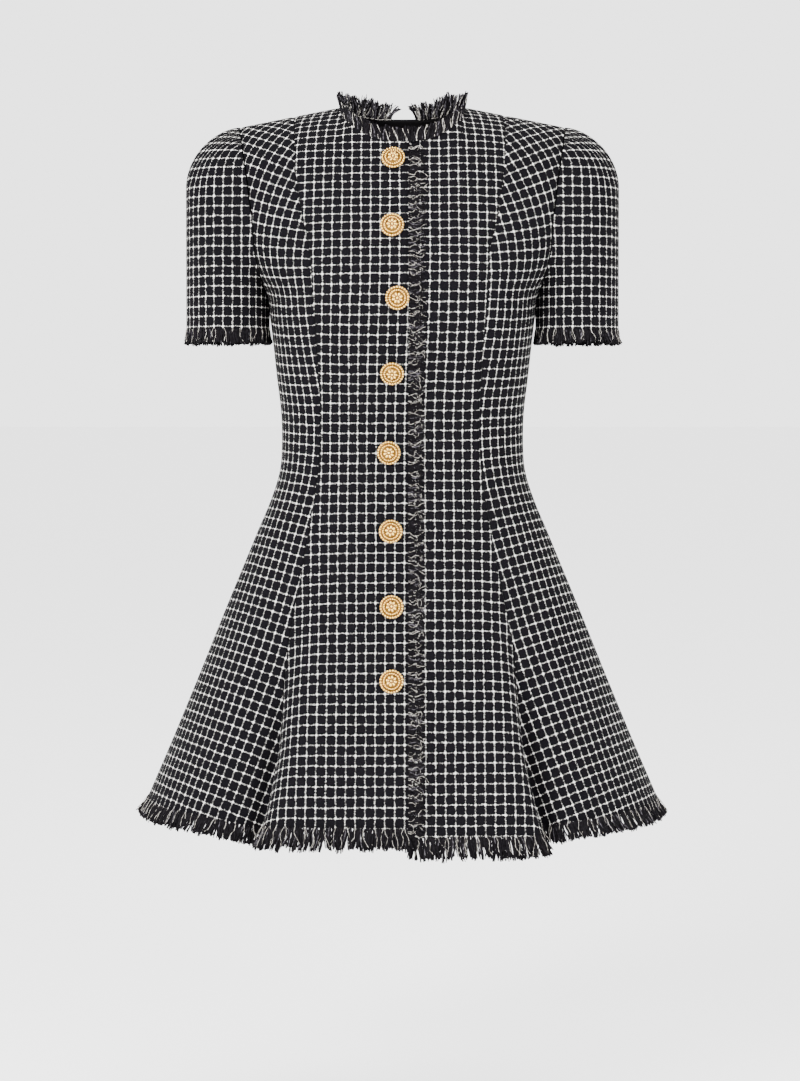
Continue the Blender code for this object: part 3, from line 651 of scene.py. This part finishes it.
def layPanel(name, panel):
    back = panel["part"] == "back" or panel.get("back", False)
    angleAt, shares = cutOf(panel)[:2]
    top = topOf(angleAt, shares, back)
    low = np.linspace(0, 1, panelGrid["lowerRows"] + 1)[:-1, None]
    high = ((1 - np.cos(pi * np.linspace(0, 1, panelGrid["chestRows"] + 1))) / 2)[:, None]
    # a front hangs a little longer in the valley at its princess seam, and the left one all along
    nearSeam, elsewhere = panel.get("longer", (0.0, 0.0))
    hem = np.full(len(shares), dress["hem"])
    hemPoints = bodyPoint(angleAt(shares, hem), hem, back)
    along = np.concatenate(([0], np.cumsum(np.linalg.norm(np.diff(hemPoints, axis=0), axis=-1))))
    away = along[-1] - along if panel["part"] == "front" else along
    longer = mix(elsewhere, nearSeam, np.exp(-((away / panelGrid["hemFade"]) ** 2)))
    skirt, chest = mix(dress["hem"] - longer, dress["armpit"], low), mix(dress["armpit"], top, high)
    heights = np.concatenate((skirt, chest))
    angles = angleAt(shares[None, :], heights)
    points, normals = bodyPoint(angles, heights, back), bodyNormal(angles, heights, back)
    if name == "leftFront":
        recess = 1 - ease(points[..., 0], dress["recessEnd"], dress["recessEnd"] + dress["recessBlend"])
        points = points - normals * (dress["recess"] * recess)[..., None]
    # the cloth turns in at its seams, where the allowances are pressed open
    steps = np.linalg.norm(np.diff(points, axis=1), axis=-1)
    along = np.concatenate((np.zeros((len(points), 1)), np.cumsum(steps, axis=1)), axis=1)
    reach = panelGrid["seamReach"]
    turned = np.exp(-((along[:, -1:] - along) / reach) ** 2)
    if panel["part"] != "front":
        turned = turned + np.exp(-(along / reach) ** 2)
    points = points - normals * (panelGrid["seamTurn"] * turned)[..., None]
    return {"points": points, "normals": normals, "heights": heights, "panel": panel}


def swingThreads(flat, turns):
    # swings the threads of a long piece about its middle, by another angle at each height
    middle = flat.shape[1] // 2
    turns = turns[:, middle]
    spine = flat[:, middle]
    steps = np.diff(spine, axis=0)
    half = (turns[1:] + turns[:-1]) / 2
    steps = np.stack((steps[:, 0] * np.cos(half) - steps[:, 1] * np.sin(half),
                      steps[:, 0] * np.sin(half) + steps[:, 1] * np.cos(half)), axis=-1)
    start = int(np.argmin(np.abs(turns)))
    newSpine = np.concatenate((spine[:1], spine[:1] + np.cumsum(steps, axis=0)))
    newSpine = newSpine + (spine[start] - newSpine[start])
    away = flat - spine[:, None]
    c, n = np.cos(turns)[:, None], np.sin(turns)[:, None]
    away = np.stack((away[..., 0] * c - away[..., 1] * n, away[..., 0] * n + away[..., 1] * c), axis=-1)
    return newSpine[:, None] + away


# How the check lies on the panels: turned at the shoulders, and on the chest moved aside, with lower rows
grain = {
    "shoulderTurn": radians(24),
    "shoulderRange": (-0.235, -0.050),
    "aside": {-1: -0.0020, 1: 0.0064},
    "rise": {-1: -0.0025, 1: 0.0020},
    "chestAside": -0.0048,
    "chestRange": (-0.36, -0.16),
    "lowRows": 0.17,
    "lowRowsFrom": -0.186,
}


def threadsOf(laid, flat, column):
    # where the check's threads lie: the flat cut, turned and moved as the dress shows them
    points, side = laid["points"], laid["panel"]["side"]
    waistRow = int(np.argmin(np.abs(laid["heights"][:, 0] - check["waist"])))
    if laid["panel"]["part"] == "side":
        middle = points.shape[1] // 3
        run = flat[waistRow + 14, middle] - flat[waistRow - 10, middle]
        turn = np.arctan2(run[0], run[1])
        threads = flat @ np.array(((np.cos(turn), np.sin(turn)), (-np.sin(turn), np.cos(turn))))
        if not laid["panel"]["back"]:
            turns = -grain["shoulderTurn"] * ease(laid["heights"], *grain["shoulderRange"])
            threads = swingThreads(threads, turns)
        threads = threads - threads[waistRow, 0]
    else:
        threads = flat - flat[waistRow, column] + np.array((points[waistRow, column, 0] * side, 0))
    # threads are counted towards the wearer's left
    threads = threads * np.array((side, 1)) + np.array((grain["aside"][side], grain["rise"][side]))
    if laid["panel"]["part"] == "front":
        threads[..., 0] += grain["chestAside"] * ease(laid["heights"], *grain["chestRange"])
        start = threads[int(np.argmin(np.abs(laid["heights"][:, column] - grain["lowRowsFrom"]))), column, 1]
        threads[..., 1] += grain["lowRows"] * np.maximum(threads[..., 1] - start, 0)
    return threads


laidPanels = {}
for name, panel in panels.items():
    laid = layPanel(name, panel)
    # the fronts and the back are cut with a straight thread down their middle
    column = None
    if panel["part"] == "front":
        column = int(np.argmin(np.abs(laid["points"][0, :, 0]))) // 8 * 8
    if panel["part"] == "back":
        column = (laid["points"].shape[1] - 1) // 2 // 8 * 8
    laid["flat"] = unroll(laid["points"], column)
    laid["threads"] = threadsOf(laid, laid["flat"], column)
    laid["piece"] = layCloth(name, laid["points"], laid["normals"], laid["threads"], panel["node"])
    laidPanels[name] = laid
print("seven panels laid")


def sleeveThreads(points, normals):
    # the check hangs straight down the sleeve, and goes on over its head towards the shoulder
    centre, width, depth = sleeve["centre"], sleeve["halfWidth"], sleeve["halfDepth"]
    turns = np.linspace(0, pi, 401)
    rim = np.stack((centre[0] + width * np.cos(turns), depth * np.sin(turns)), axis=-1)
    arc = np.concatenate(([0], np.cumsum(np.linalg.norm(np.diff(rim, axis=0), axis=-1))))
    across = np.interp(-points[..., 0], -rim[:201, 0], arc[:201])
    across = across + np.maximum(centre[0] - points[..., 0], 0)
    under = np.interp(-points[..., 0], -rim[:, 0], arc)
    low = ease(points[..., 2], -0.120, -0.180)
    across = mix(across, under, low)
    over = np.interp(np.abs(points[..., 1] - centre[1]), rim[:201, 1], arc[:201])
    outer = points[:, points.shape[1] // 2]
    rise = np.concatenate(([0], np.cumsum(np.linalg.norm(np.diff(outer, axis=0), axis=-1))))
    # past the bend of the head the rows are counted along it, the more the nearer to its middle
    inward = np.clip(1 - np.abs(points[..., 1] - centre[1]) / depth, 0, 1) ** 1.5
    onTop = inward * ease(normals[..., 2], 0.10, 0.95)
    beyond = np.interp(-points[..., 0], -outer[:, 0], rise - (outer[:, 2] - sleeve["hem"]))
    height = points[..., 2] - sleeve["hem"] + beyond * onTop
    # the lengthwise lines are counted inwards from the outer side, and over the head from front to back
    before = ease(np.abs(normals[..., 1]), 0.50, 0.95)
    before = np.maximum(before, low * (points[..., 0] < centre[0]))
    return np.stack((mix(over, across, before), height + sleeve["lastLine"]), axis=-1)


def laySleeve(name, node, side):
    turn = np.linspace(0.5, 1.5, sleeve["columns"] + 1)[None, :]
    drop = np.linspace(1, 0, sleeve["rows"] + 1)[:, None]
    points = sleevePoint(turn, drop)
    normals = gridNormals(points, points - np.array((sleeve["centre"][0] - 0.01, sleeve["centre"][1], -0.13)))
    flat = unroll(points, sleeve["columns"] // 2)
    threads = sleeveThreads(points, normals)
    points, normals = points * np.array((side, 1, 1)), normals * np.array((side, 1, 1))
    piece = layCloth(name, points, normals, threads, node, closed=True)
    return {"points": points, "normals": normals, "flat": flat, "threads": threads, "piece": piece}


laidSleeves = {
    "rightSleeve": laySleeve("rightSleeve", "sleeve_right", -1),
    "leftSleeve": laySleeve("leftSleeve", "sleeve_left", 1),
}
print("sleeves laid")


def layFacing():
    # the black facing lies against the inside of the centre back, below the neckline
    angleAt, shares, neck = cutOf(panels["centreBack"])
    shares = shares[np.abs(shares) < neck + 1e-6]
    top = topOf(angleAt, shares, True)
    heights = top - facing["drop"] * np.linspace(1, 0, facing["rows"] + 1)[:, None]
    angles = angleAt(shares[None, :], heights)
    points, normals = bodyPoint(angles, heights, True), bodyNormal(angles, heights, True)
    points = points - normals * (dress["thickness"] + facing["gap"])
    flat = unroll(points)
    piece = layCloth("neckFacing", points, normals, flat, "back_neck_facing", lined=True)
    return {"flat": flat, "piece": piece}


laidFacing = layFacing()
print("facing laid")

for laid in list(laidPanels.values()) + list(laidSleeves.values()) + [laidFacing]:
    declareCloth(laid["piece"], laid["flat"])


def grow(seed, edge, look, goalOf):
    # clumps of black yarn along an edge, each drawn in towards a swaying tip of its own.
    # edge holds arc length, points, and the outward, along and normal directions at each point
    chance = random.Random(seed)
    arc, yarns = edge["arc"], []
    count = int((arc[-1] - arc[0]) / look["spacing"])
    waves = [(chance.uniform(90, 700), chance.uniform(0, 6.3), chance.uniform(0.4, 1.0)) for _ in range(6)]
    total = sum(wave[2] for wave in waves)

    def noise(s):
        return sum(w * sin(f * s + p) for f, p, w in waves) / total

    def at(name, s):
        values = edge[name]
        return np.array([np.interp(s, arc, values[:, i]) for i in range(3)])

    def yarn(s, share, sway, lean, length, depth, kind, radius, curl):
        root = at("point", s) + at("along", s) * chance.gauss(0, 0.0004) - at("normal", s) * depth
        out, along, normal = at("outward", s), at("along", s), at("normal", s)
        goal = goalOf(root, out)
        steps = look["steps"]
        points, where = [root - out * 0.0012], root
        phase, turns = chance.uniform(0, 6.3), chance.uniform(0.5, 1.4)
        for i in range(1, steps + 1):
            t = i / steps
            heading = out * (1 - look["bend"] * t) + goal * look["bend"] * t
            heading = heading + along * (sway * t + curl * cos(phase + 6.3 * turns * t))
            heading = heading + normal * (lean * t + 0.7 * curl * sin(phase + 5.1 * turns * t))
            where = where + heading / np.linalg.norm(heading) * (length / steps)
            points.append(where)
        points = np.array(points)
        # the clump's yarns draw together near its tip
        points[1:] += along * share * (1 - np.linspace(0, 1, steps)[:, None] * look["gather"])
        radii = radius * np.interp(np.linspace(0, 1, steps + 1), (0, 0.7, 1), (1, 1, look["taper"]))
        yarns.append((points, radii, kind))

    for i in range(count):
        s = arc[0] + (i + chance.uniform(0.2, 0.8)) * look["spacing"]
        sway = look["sway"] * noise(s) * 1.6 + chance.gauss(0, look["sway"] * 0.35)
        lean = chance.gauss(look["lean"], 0.16)
        length = look["length"] * (chance.uniform(0.88, 1.06) + 0.10 * noise(2 * s))
        length *= edge.get("longer", lambda s: 1.0)(s)
        sway += edge.get("pull", lambda s: 0.0)(s)
        for k in range(look["yarns"]):
            # some of the black yarns are plied and thick, and fill the band
            ply = look["ply"] if k % 3 == 0 else 1.0
            share = (k / (look["yarns"] - 1) - 0.5) * look["spacing"] * 1.5 + chance.gauss(0, 0.0003)
            # a share of the single yarns is painted grey sheen
            kind = 1 if chance.random() < look["sheenGreyShare"] and ply == 1.0 else 0
            yarn(s, share, sway + chance.gauss(0, 0.10), lean + chance.gauss(0, 0.10),
                 length * chance.uniform(0.88, 1.02), chance.uniform(0.0003, dress["thickness"]), kind,
                 look["radius"] * ply * chance.uniform(0.8, 1.15), look["curl"] * chance.uniform(0.3, 1.0))
    for s in edge["lines"]:
        sway = look["sway"] * noise(s) * 1.8 + edge.get("pull", lambda s: 0.0)(s)
        for k in range(look["whites"]):
            yarn(s + chance.gauss(0, 0.0006), 0.0, sway + chance.gauss(0, look["cross"]), look["lean"] + 0.05,
                 look["length"] * chance.uniform(0.78, 1.0) * edge.get("longer", lambda s: 1.0)(s),
                 look["whiteDepth"], 2, look["whiteRadius"] * chance.uniform(0.85, 1.1),
                 look["whiteCurl"] * chance.uniform(0.5, 1.2))
    return yarns


def spin(name, yarns, node, materials):
    # every yarn is a tapered line, given its roundness by the curve's bevel
    curve = bpy.data.curves.new(name, "CURVE")
    curve.dimensions = "3D"
    curve.bevel_depth = 1.0
    curve.bevel_resolution = 0
    for material in materials:
        curve.materials.append(material)
    for points, radii, kind in yarns:
        spline = curve.splines.new("POLY")
        spline.points.add(len(points) - 1)
        spline.points.foreach_set("co", np.column_stack((points, np.ones(len(points)))).ravel())
        spline.points.foreach_set("radius", radii)
        spline.material_index = kind
    holder = bpy.data.objects.new(name, curve)
    mesh = bpy.data.meshes.new_from_object(holder)
    bpy.data.objects.remove(holder)
    mesh.name = name
    addPiece(name, mesh, node, "yarn", [])
    print(name, len(yarns), "yarns,", sum(len(p.vertices) - 2 for p in mesh.polygons), "triangles")


def edgeFrom(points, inner, normals, lineAt):
    # lineAt runs along the edge in checks; a white line meets the edge at each whole number
    arc = np.concatenate(([0], np.cumsum(np.linalg.norm(np.diff(points, axis=0), axis=-1))))
    along = unit(np.gradient(points, axis=0))
    lines = []
    for i in range(len(arc) - 1):
        low, high = sorted((lineAt[i], lineAt[i + 1]))
        for whole in range(int(np.ceil(low)), int(np.floor(high)) + 1):
            share = (whole - lineAt[i]) / (lineAt[i + 1] - lineAt[i])
            if abs(whole - high) > 1e-9:
                lines.append(mix(arc[i], arc[i + 1], share))
    return {"arc": arc, "point": points, "outward": unit(points - inner), "along": along,
            "normal": normals, "lines": lines}


tipLean = {"flare": 0.35, "stand": 0.22}      # how far the tips turn away from the body


def flareDown(point, out):
    away = np.array((point[0], point[1], 0.0))
    return out + away / np.linalg.norm(away) * tipLean["flare"]


def standUp(point, out):
    away = np.array((point[0], point[1], 0.0))
    return np.array((0, 0, 1.0)) + away / np.linalg.norm(away) * tipLean["stand"]


wovenPair = {"step": 0.0006, "twist": 0.0066, "inset": 0.0012, "swing": 0.0006, "wander": 0.0003,
             "relief": 0.0004, "radius": 0.0004}


def selvage(seed, edge):
    # the last woven pair of white yarns, along the inside of the frayed strip
    look, chance, yarns = wovenPair, random.Random(seed), []
    for sign in (-1, 1):
        s = np.arange(edge["arc"][0], edge["arc"][-1], look["step"])
        place = np.stack([np.interp(s, edge["arc"], edge["point"][:, i]) for i in range(3)], axis=-1)
        turn = 2 * pi * s / look["twist"] + chance.uniform(0, 6.3)
        rise = look["inset"] + look["swing"] * sign * np.sin(turn) + look["wander"] * np.sin(0.37 * turn)
        place = place + edge["outward"][0] * rise[:, None]
        normal = np.stack([np.interp(s, edge["arc"], edge["normal"][:, i]) for i in range(3)], axis=-1)
        sink = dress["thickness"] + look["relief"] * np.cos(turn) * sign
        radii = look["radius"] * (0.75 + 0.35 * np.sin(0.8 * turn + sign))
        yarns.append((place - normal * sink[:, None], radii, 2))
    return yarns


hemFringe = {
    "spacing": 0.0023, "yarns": 6, "steps": 4, "length": 0.0236, "sway": 0.34, "lean": 0.02, "bend": 0.35,
    "gather": 0.15, "taper": 0.85, "radius": 0.00058, "ply": 1.8, "sheenGreyShare": 0.14, "curl": 0.16,
    "whites": 2, "whiteRadius": 0.00017, "whiteDepth": -0.0004, "whiteCurl": 0.55, "cross": 0.22,
}
sleeveFringe = dict(hemFringe, spacing=0.0021, length=0.0150, lean=0.10)
neckFringe = {
    "spacing": 0.0020, "yarns": 7, "steps": 6, "length": 0.0200, "sway": 0.36, "lean": 0.0, "bend": 0.9,
    "gather": 0.20, "taper": 0.85, "radius": 0.00054, "ply": 1.5, "sheenGreyShare": 0.30, "curl": 0.20,
    "whites": 2, "whiteRadius": 0.00027, "whiteDepth": -0.0002, "whiteCurl": 0.40, "cross": 0.26,
}


def hemEdges():
    # one stretch of edge for each panel, in order round the hem
    for name, laid in laidPanels.items():
        points, inner = laid["points"][0], laid["points"][2]
        edge = edgeFrom(points, inner, laid["normals"][0], laid["threads"][0, :, 0] / check["width"])
        if name == "leftFront":
            # the underlap's locks are short, and stay behind the right front
            edge["longer"] = lambda s: 0.45 + 0.55 * float(ease(s, 0.030, 0.042))
        if name in ("rightSideFront", "leftSideFront"):
            edge["longer"] = lambda s: 0.84
        yield name, edge


yarns = []
for seed, (name, edge) in enumerate(hemEdges()):
    yarns += grow(100 + seed, edge, hemFringe, flareDown)
spin("hemFringe", yarns, "hem_fringe", [blackYarn, sheenGreyYarn, whiteYarn])

for seed, (side, name) in enumerate(((-1, "right"), (1, "left"))):
    laid = laidSleeves[name + "Sleeve"]
    lineAt = laid["threads"][0, :, 0] / check["width"]
    edge = edgeFrom(laid["points"][0], laid["points"][2], laid["normals"][0], lineAt)
    yarns = grow(200 + seed, edge, sleeveFringe, lambda point, out: out)
    spin(name + "SleeveFringe", yarns, "sleeve_fringe_" + name, [blackYarn, sheenGreyYarn, whiteYarn])


def neckEdge(angles, back):
    width = level(0.0, "halfWidth")
    across = width * np.sin(angles)
    height = neckHeight(np.abs(across), back)
    width = level(height, "halfWidth")
    angles = np.arcsin(np.clip(across / width, -1, 1))
    points, normals = bodyPoint(angles, height, back), bodyNormal(angles, height, back)
    # outward is away from the cloth, towards the neck
    inner = bodyPoint(angles, height - 0.003, back)
    arc = np.concatenate(([0], np.cumsum(np.linalg.norm(np.diff(points, axis=0), axis=-1))))
    return edgeFrom(points, inner, normals, arc / check["width"] + 0.37)


neckWidth = float(np.arcsin(dress["neckHalfWidth"] / level(0.0, "halfWidth"))) - 1e-4
backGap = {"left": 0.0140, "right": 0.0125}
backPull = {"sway": 1.1, "reach": 0.013}
frontEdge = neckEdge(np.linspace(-neckWidth, neckWidth, 61), False)
gapAngles = {side: float(np.arcsin(reach / level(0.0, "halfWidth"))) for side, reach in backGap.items()}
rightBack = neckEdge(np.linspace(-neckWidth, -gapAngles["right"], 31), True)
leftBack = neckEdge(np.linspace(gapAngles["left"], neckWidth, 31), True)
# beside the gap at the centre back the locks lean in over it
rightEnd, leftArc = rightBack["arc"][-1], leftBack["arc"][-1]
rightBack["pull"] = lambda s: backPull["sway"] * float(np.exp(-((rightEnd - s) / backPull["reach"]) ** 2))
leftBack["pull"] = lambda s: -backPull["sway"] * float(np.exp(-(s / backPull["reach"]) ** 2))
rightBack["longer"] = lambda s: 0.97 + 0.36 * sin(pi * min(1.0, 0.12 + s / rightEnd))
leftBack["longer"] = lambda s: 0.97 + 0.36 * sin(pi * min(1.0, 0.12 + 1 - s / leftArc))
frontMiddle = frontEdge["arc"][-1] / 2
frontEdge["longer"] = lambda s: 0.76 + 0.22 * (abs(s / frontMiddle - 1)) ** 2
yarns = grow(301, frontEdge, dict(neckFringe, lean=-0.05), standUp)
# the back locks carry more painted grey sheen
backFringe = dict(neckFringe, sheenGreyShare=0.85, whites=11, whiteDepth=0.0020, curl=0.34, sway=0.6, gather=0.0)
yarns += grow(302, rightBack, backFringe, standUp)
yarns += grow(303, leftBack, backFringe, standUp)
yarns += selvage(310, rightBack) + selvage(311, leftBack)
spin("neckFringe", yarns, "neck_fringe", [blackYarn, sheenGreyYarn, whiteYarn])

# The lapping front's edge is a tangle of curly yarn, lying over the left front
placket = {
    "top": -0.050, "end": -0.768, "edge": 0.0052, "reach": 0.0190, "spacing": 0.0021, "yarns": 5, "steps": 7,
    "radius": 0.00050, "whiteRadius": 0.00020, "whites": 2, "whiteSteps": 11, "sheenGreyShare": 0.09,
}


def onFront(across, height, depth):
    angle = np.arcsin(across / level(height, "halfWidth"))
    return bodyPoint(angle, height, False) - bodyNormal(angle, height, False) * depth[..., None]


def straggle(chance, height, length, depth, steps, loops, reach, back=0.0):
    t = np.linspace(0, 1, steps)
    phase, other, turns = chance.uniform(0, 6.3), chance.uniform(0, 6.3), chance.uniform(0.7, 1.3) * loops
    run = t * (1 - back * t)
    across = placket["edge"] - 0.001 + length * run + reach * t * np.sin(phase + 6.3 * turns * t)
    high = height + reach * 1.3 * t * (np.sin(other + 6.3 * turns * t) - 0.3) + chance.gauss(0, 0.0022) * t
    sink = np.clip(depth + 0.0008 * t * np.sin(other + 5 * turns * t), 0.0003, 0.0022)
    return onFront(across, np.clip(high, -0.79, -0.046), sink)


def placketYarns():
    chance = random.Random(400)
    look, yarns = placket, []
    count = int((look["top"] - look["end"]) / look["spacing"])
    for i in range(count):
        height = look["top"] - (i + chance.uniform(0.1, 0.9)) * look["spacing"]
        for k in range(look["yarns"]):
            length = look["reach"] * chance.uniform(0.72, 1.03)
            points = straggle(chance, height + chance.gauss(0, 0.0011), length, chance.uniform(0.0004, 0.0021),
                              look["steps"], 0.9, 0.0022)
            taper = np.interp(np.linspace(0, 1, look["steps"]), (0, 0.75, 1), (1, 1, 0.5))
            radii = look["radius"] * chance.uniform(0.8, 1.15) * taper
            # some placket yarns are painted grey sheen
            yarns.append((points, radii, 1 if chance.random() < look["sheenGreyShare"] else 0))
    front = laidPanels["rightFront"]
    edgeHeights, lineAt = front["points"][:, 0, 2], front["threads"][:, 0, 1] / check["height"]
    for whole in range(int(np.ceil(lineAt[0])), int(np.floor(lineAt[-1])) + 1):
        height = float(np.interp(whole, lineAt, edgeHeights))
        if not look["end"] < height < look["top"]:
            continue
        for k in range(look["whites"]):
            length = look["reach"] * chance.uniform(0.80, 1.05)
            points = straggle(chance, height + chance.gauss(0, 0.0024), length, 0.0003, look["whiteSteps"], 1.5,
                              chance.uniform(0.0018, 0.0044), chance.choice((0.0, 0.0, 0.28)))
            taper = np.interp(np.linspace(0, 1, look["whiteSteps"]), (0, 0.85, 1), (1, 1, 0.5))
            yarns.append((points, look["whiteRadius"] * taper, 2))
    return yarns


spin("placketFringe", placketYarns(), "placket_fringe", [blackYarn, sheenGreyYarn, whiteYarn])
print("fringes grown")


buttonPlaces = (
    (-0.0645, -0.0100), (-0.1366, -0.0110), (-0.2126, -0.0055), (-0.2906, -0.0110),
    (-0.3751, -0.0145), (-0.4580, -0.0125), (-0.5361, -0.0115), (-0.6116, -0.0115),
)
button = {
    "profile": ((0.0112, 0.0), (0.0121, 0.0005), (0.0124, 0.0012), (0.0120, 0.0017), (0.0108, 0.0017),
                (0.0094, 0.0017), (0.0090, 0.0022), (0.0087, 0.0029), (0.0076, 0.0029), (0.0068, 0.0030),
                (0.0062, 0.0037), (0.0053, 0.0043), (0.0042, 0.0047), (0.0030, 0.0049), (0.0015, 0.0050),
                (0.0, 0.0050)),
    "segments": 96,
    # count, reach from the middle, half sizes outward, around and up, and height: two rings of beads and a
    # plain rosette of petals round a knob
    "beads": (
        (25, 0.0114, (0.00138, 0.00138, 0.00150), 0.0018),
        (22, 0.0081, (0.00112, 0.00112, 0.00120), 0.0030),
        (8, 0.0040, (0.00215, 0.00132, 0.00125), 0.0047),
        (1, 0.0, (0.00150, 0.00150, 0.00120), 0.0051),
    ),
    # the painted shade on the disc and in the recesses
    "recess": 0.06,
    "seat": 0.018,
    "clearance": 0.0003,
    "turn": 0.37,
}


def buttonMesh():
    shape = bmesh.new()
    last, edges = None, []
    for radius, height in button["profile"]:
        vert = shape.verts.new((radius, 0, height))
        if last:
            edges.append(shape.edges.new((last, vert)))
        last = vert
    bmesh.ops.spin(shape, geom=shape.verts[:] + edges, cent=(0, 0, 0), axis=(0, 0, 1), angle=2 * pi,
                   steps=button["segments"], use_merge=True)
    bmesh.ops.remove_doubles(shape, verts=shape.verts, dist=1e-6)
    # painted light: a painted highlight on the tops of the beads, and painted shade in the recesses between
    # them and down the beads' sides
    paintedShadeAndHighlight = shape.verts.layers.float.new("paintedShadeAndHighlight")
    for vert in shape.verts:
        vert[paintedShadeAndHighlight] = button["recess"]
    for count, reach, sizes, height in button["beads"]:
        for i in range(count):
            made = bmesh.ops.create_uvsphere(shape, u_segments=14, v_segments=10, radius=1.0)
            for vert in made["verts"]:
                vert[paintedShadeAndHighlight] = button["recess"] + (1 - button["recess"]) * max(0.0, vert.co.z) ** 1.4
            place = Matrix.Rotation(2 * pi * i / count, 4, "Z") @ Matrix.Translation((reach, 0, height))
            bmesh.ops.transform(shape, matrix=place @ Matrix.Diagonal((*sizes, 1)), verts=made["verts"])
    bmesh.ops.recalc_face_normals(shape, faces=shape.faces)
    return shape


def sewButton(number, height, across):
    angle = np.arcsin(across / level(height, "halfWidth"))
    point, normal = bodyPoint(angle, np.array(height), False), bodyNormal(angle, np.array(height), False)
    # the flat back rests on the cloth's highest place above and below
    seat = button["seat"]
    around = [bodyPoint(angle, np.array(height + reach), False) for reach in (-seat, seat)]
    lift = max(0.0, *(float((near - point) @ normal) for near in around)) + button["clearance"]
    shape = buttonMesh()
    turn = Vector(normal).to_track_quat("Z", "Y").to_matrix().to_4x4()
    spun = Matrix.Rotation(button["turn"] * number, 4, "Z")
    place = Matrix.Translation(Vector(point + normal * lift)) @ turn @ spun
    bmesh.ops.transform(shape, matrix=place, verts=shape.verts)
    mesh = bpy.data.meshes.new("button" + str(number))
    shape.to_mesh(mesh)
    shape.free()
    addPiece("button" + str(number), mesh, "button_" + str(number), "gold", [gold])


for number, (height, across) in enumerate(buttonPlaces, 1):
    sewButton(number, height, across)
print("eight buttons sewn on")


studio = {"floor": -1.12, "floorSize": 60.0, "horizon": 3.0, "middle": 0.7, "above": 5.0, "front": 0.45}


def makeFloor():
    made = bmesh.new()
    place = Matrix.Translation((0, 0, studio["floor"]))
    bmesh.ops.create_grid(made, x_segments=1, y_segments=1, size=studio["floorSize"], matrix=place)
    mesh = bpy.data.meshes.new("paleFloor")
    made.to_mesh(mesh)
    made.free()
    floor = bpy.data.objects.new("paleFloor", mesh)
    bpy.context.scene.collection.objects.link(floor)
    paper = newMaterial("white matt studio paper", {
        "Base Color": hexLinear("#fefefe"), "Roughness": 1.0, "Specular IOR Level": 0.0})[0]
    mesh.materials.append(paper)


def makeWorld():
    # a white studio: bright round the horizon and overhead, dim between, so that metal has something to show
    world = bpy.data.worlds.new("white studio")
    bpy.context.scene.world = world
    world.use_nodes = True
    tree = world.node_tree
    direction = addNode(tree, "ShaderNodeTexCoord").outputs["Generated"]
    split = addNode(tree, "ShaderNodeSeparateXYZ", None, {"Vector": direction})
    low = addNode(tree, "ShaderNodeMapRange", eased, {
        "Value": split.outputs["Z"], "From Min": 0.50, "From Max": 0.28})
    low = addNode(tree, "ShaderNodeMath", product, {0: low, 1: studio["horizon"] - studio["middle"]})
    high = addNode(tree, "ShaderNodeMapRange", eased, {
        "Value": split.outputs["Z"], "From Min": 0.60, "From Max": 0.80})
    high = addNode(tree, "ShaderNodeMath", product, {0: high, 1: studio["above"] - studio["middle"]})
    strength = addNode(tree, "ShaderNodeMath", {"operation": "ADD"}, {0: low, 1: high})
    strength = addNode(tree, "ShaderNodeMath", {"operation": "ADD"}, {0: strength, 1: studio["middle"]})
    # the end of the studio in front of the dress is dimmer, which gives the gold its dark reflections
    lit = addNode(tree, "ShaderNodeMapRange", eased, {
        "Value": split.outputs["Y"], "From Min": -0.7, "From Max": 0.0})
    lit = addNode(tree, "ShaderNodeMath", scaledSum, {0: lit, 1: 1 - studio["front"], 2: studio["front"]})
    strength = addNode(tree, "ShaderNodeMath", product, {0: strength, 1: lit})
    background = tree.nodes["Background"]
    background.inputs["Color"].default_value = (1, 1, 1, 1)
    tree.links.new(strength.outputs[0], background.inputs["Strength"])


def addLight(name, place, target, size, power):
    data = bpy.data.lights.new(name, "AREA")
    data.shape, data.size, data.size_y, data.energy = "RECTANGLE", size[0], size[1], power
    light = bpy.data.objects.new(name, data)
    bpy.context.scene.collection.objects.link(light)
    light.location = place
    light.rotation_euler = (Vector(target) - Vector(place)).to_track_quat("-Z", "Y").to_euler()


makeFloor()
makeWorld()
softbox = {"aim": (0, 0, -0.4), "size": (1.3, 1.8)}
addLight("front softbox left", (-2.0, -2.6, 1.1), softbox["aim"], softbox["size"], 300)
addLight("front softbox right", (2.0, -2.8, 0.6), softbox["aim"], softbox["size"], 175)

view = {"distance": 2.3, "height": -0.319, "aside": -0.00275, "lens": 69.63, "tilt": radians(2.07),
        "shift": -0.060}
cameraData = bpy.data.cameras.new("camera")
cameraData.lens = view["lens"]
cameraData.shift_y = view["shift"]
camera = bpy.data.objects.new("camera", cameraData)
bpy.context.scene.collection.objects.link(camera)
camera.location = (view["aside"], -view["distance"], view["height"])
camera.rotation_euler = (pi / 2 - view["tilt"], 0, 0)
bpy.context.scene.camera = camera
print("studio set")
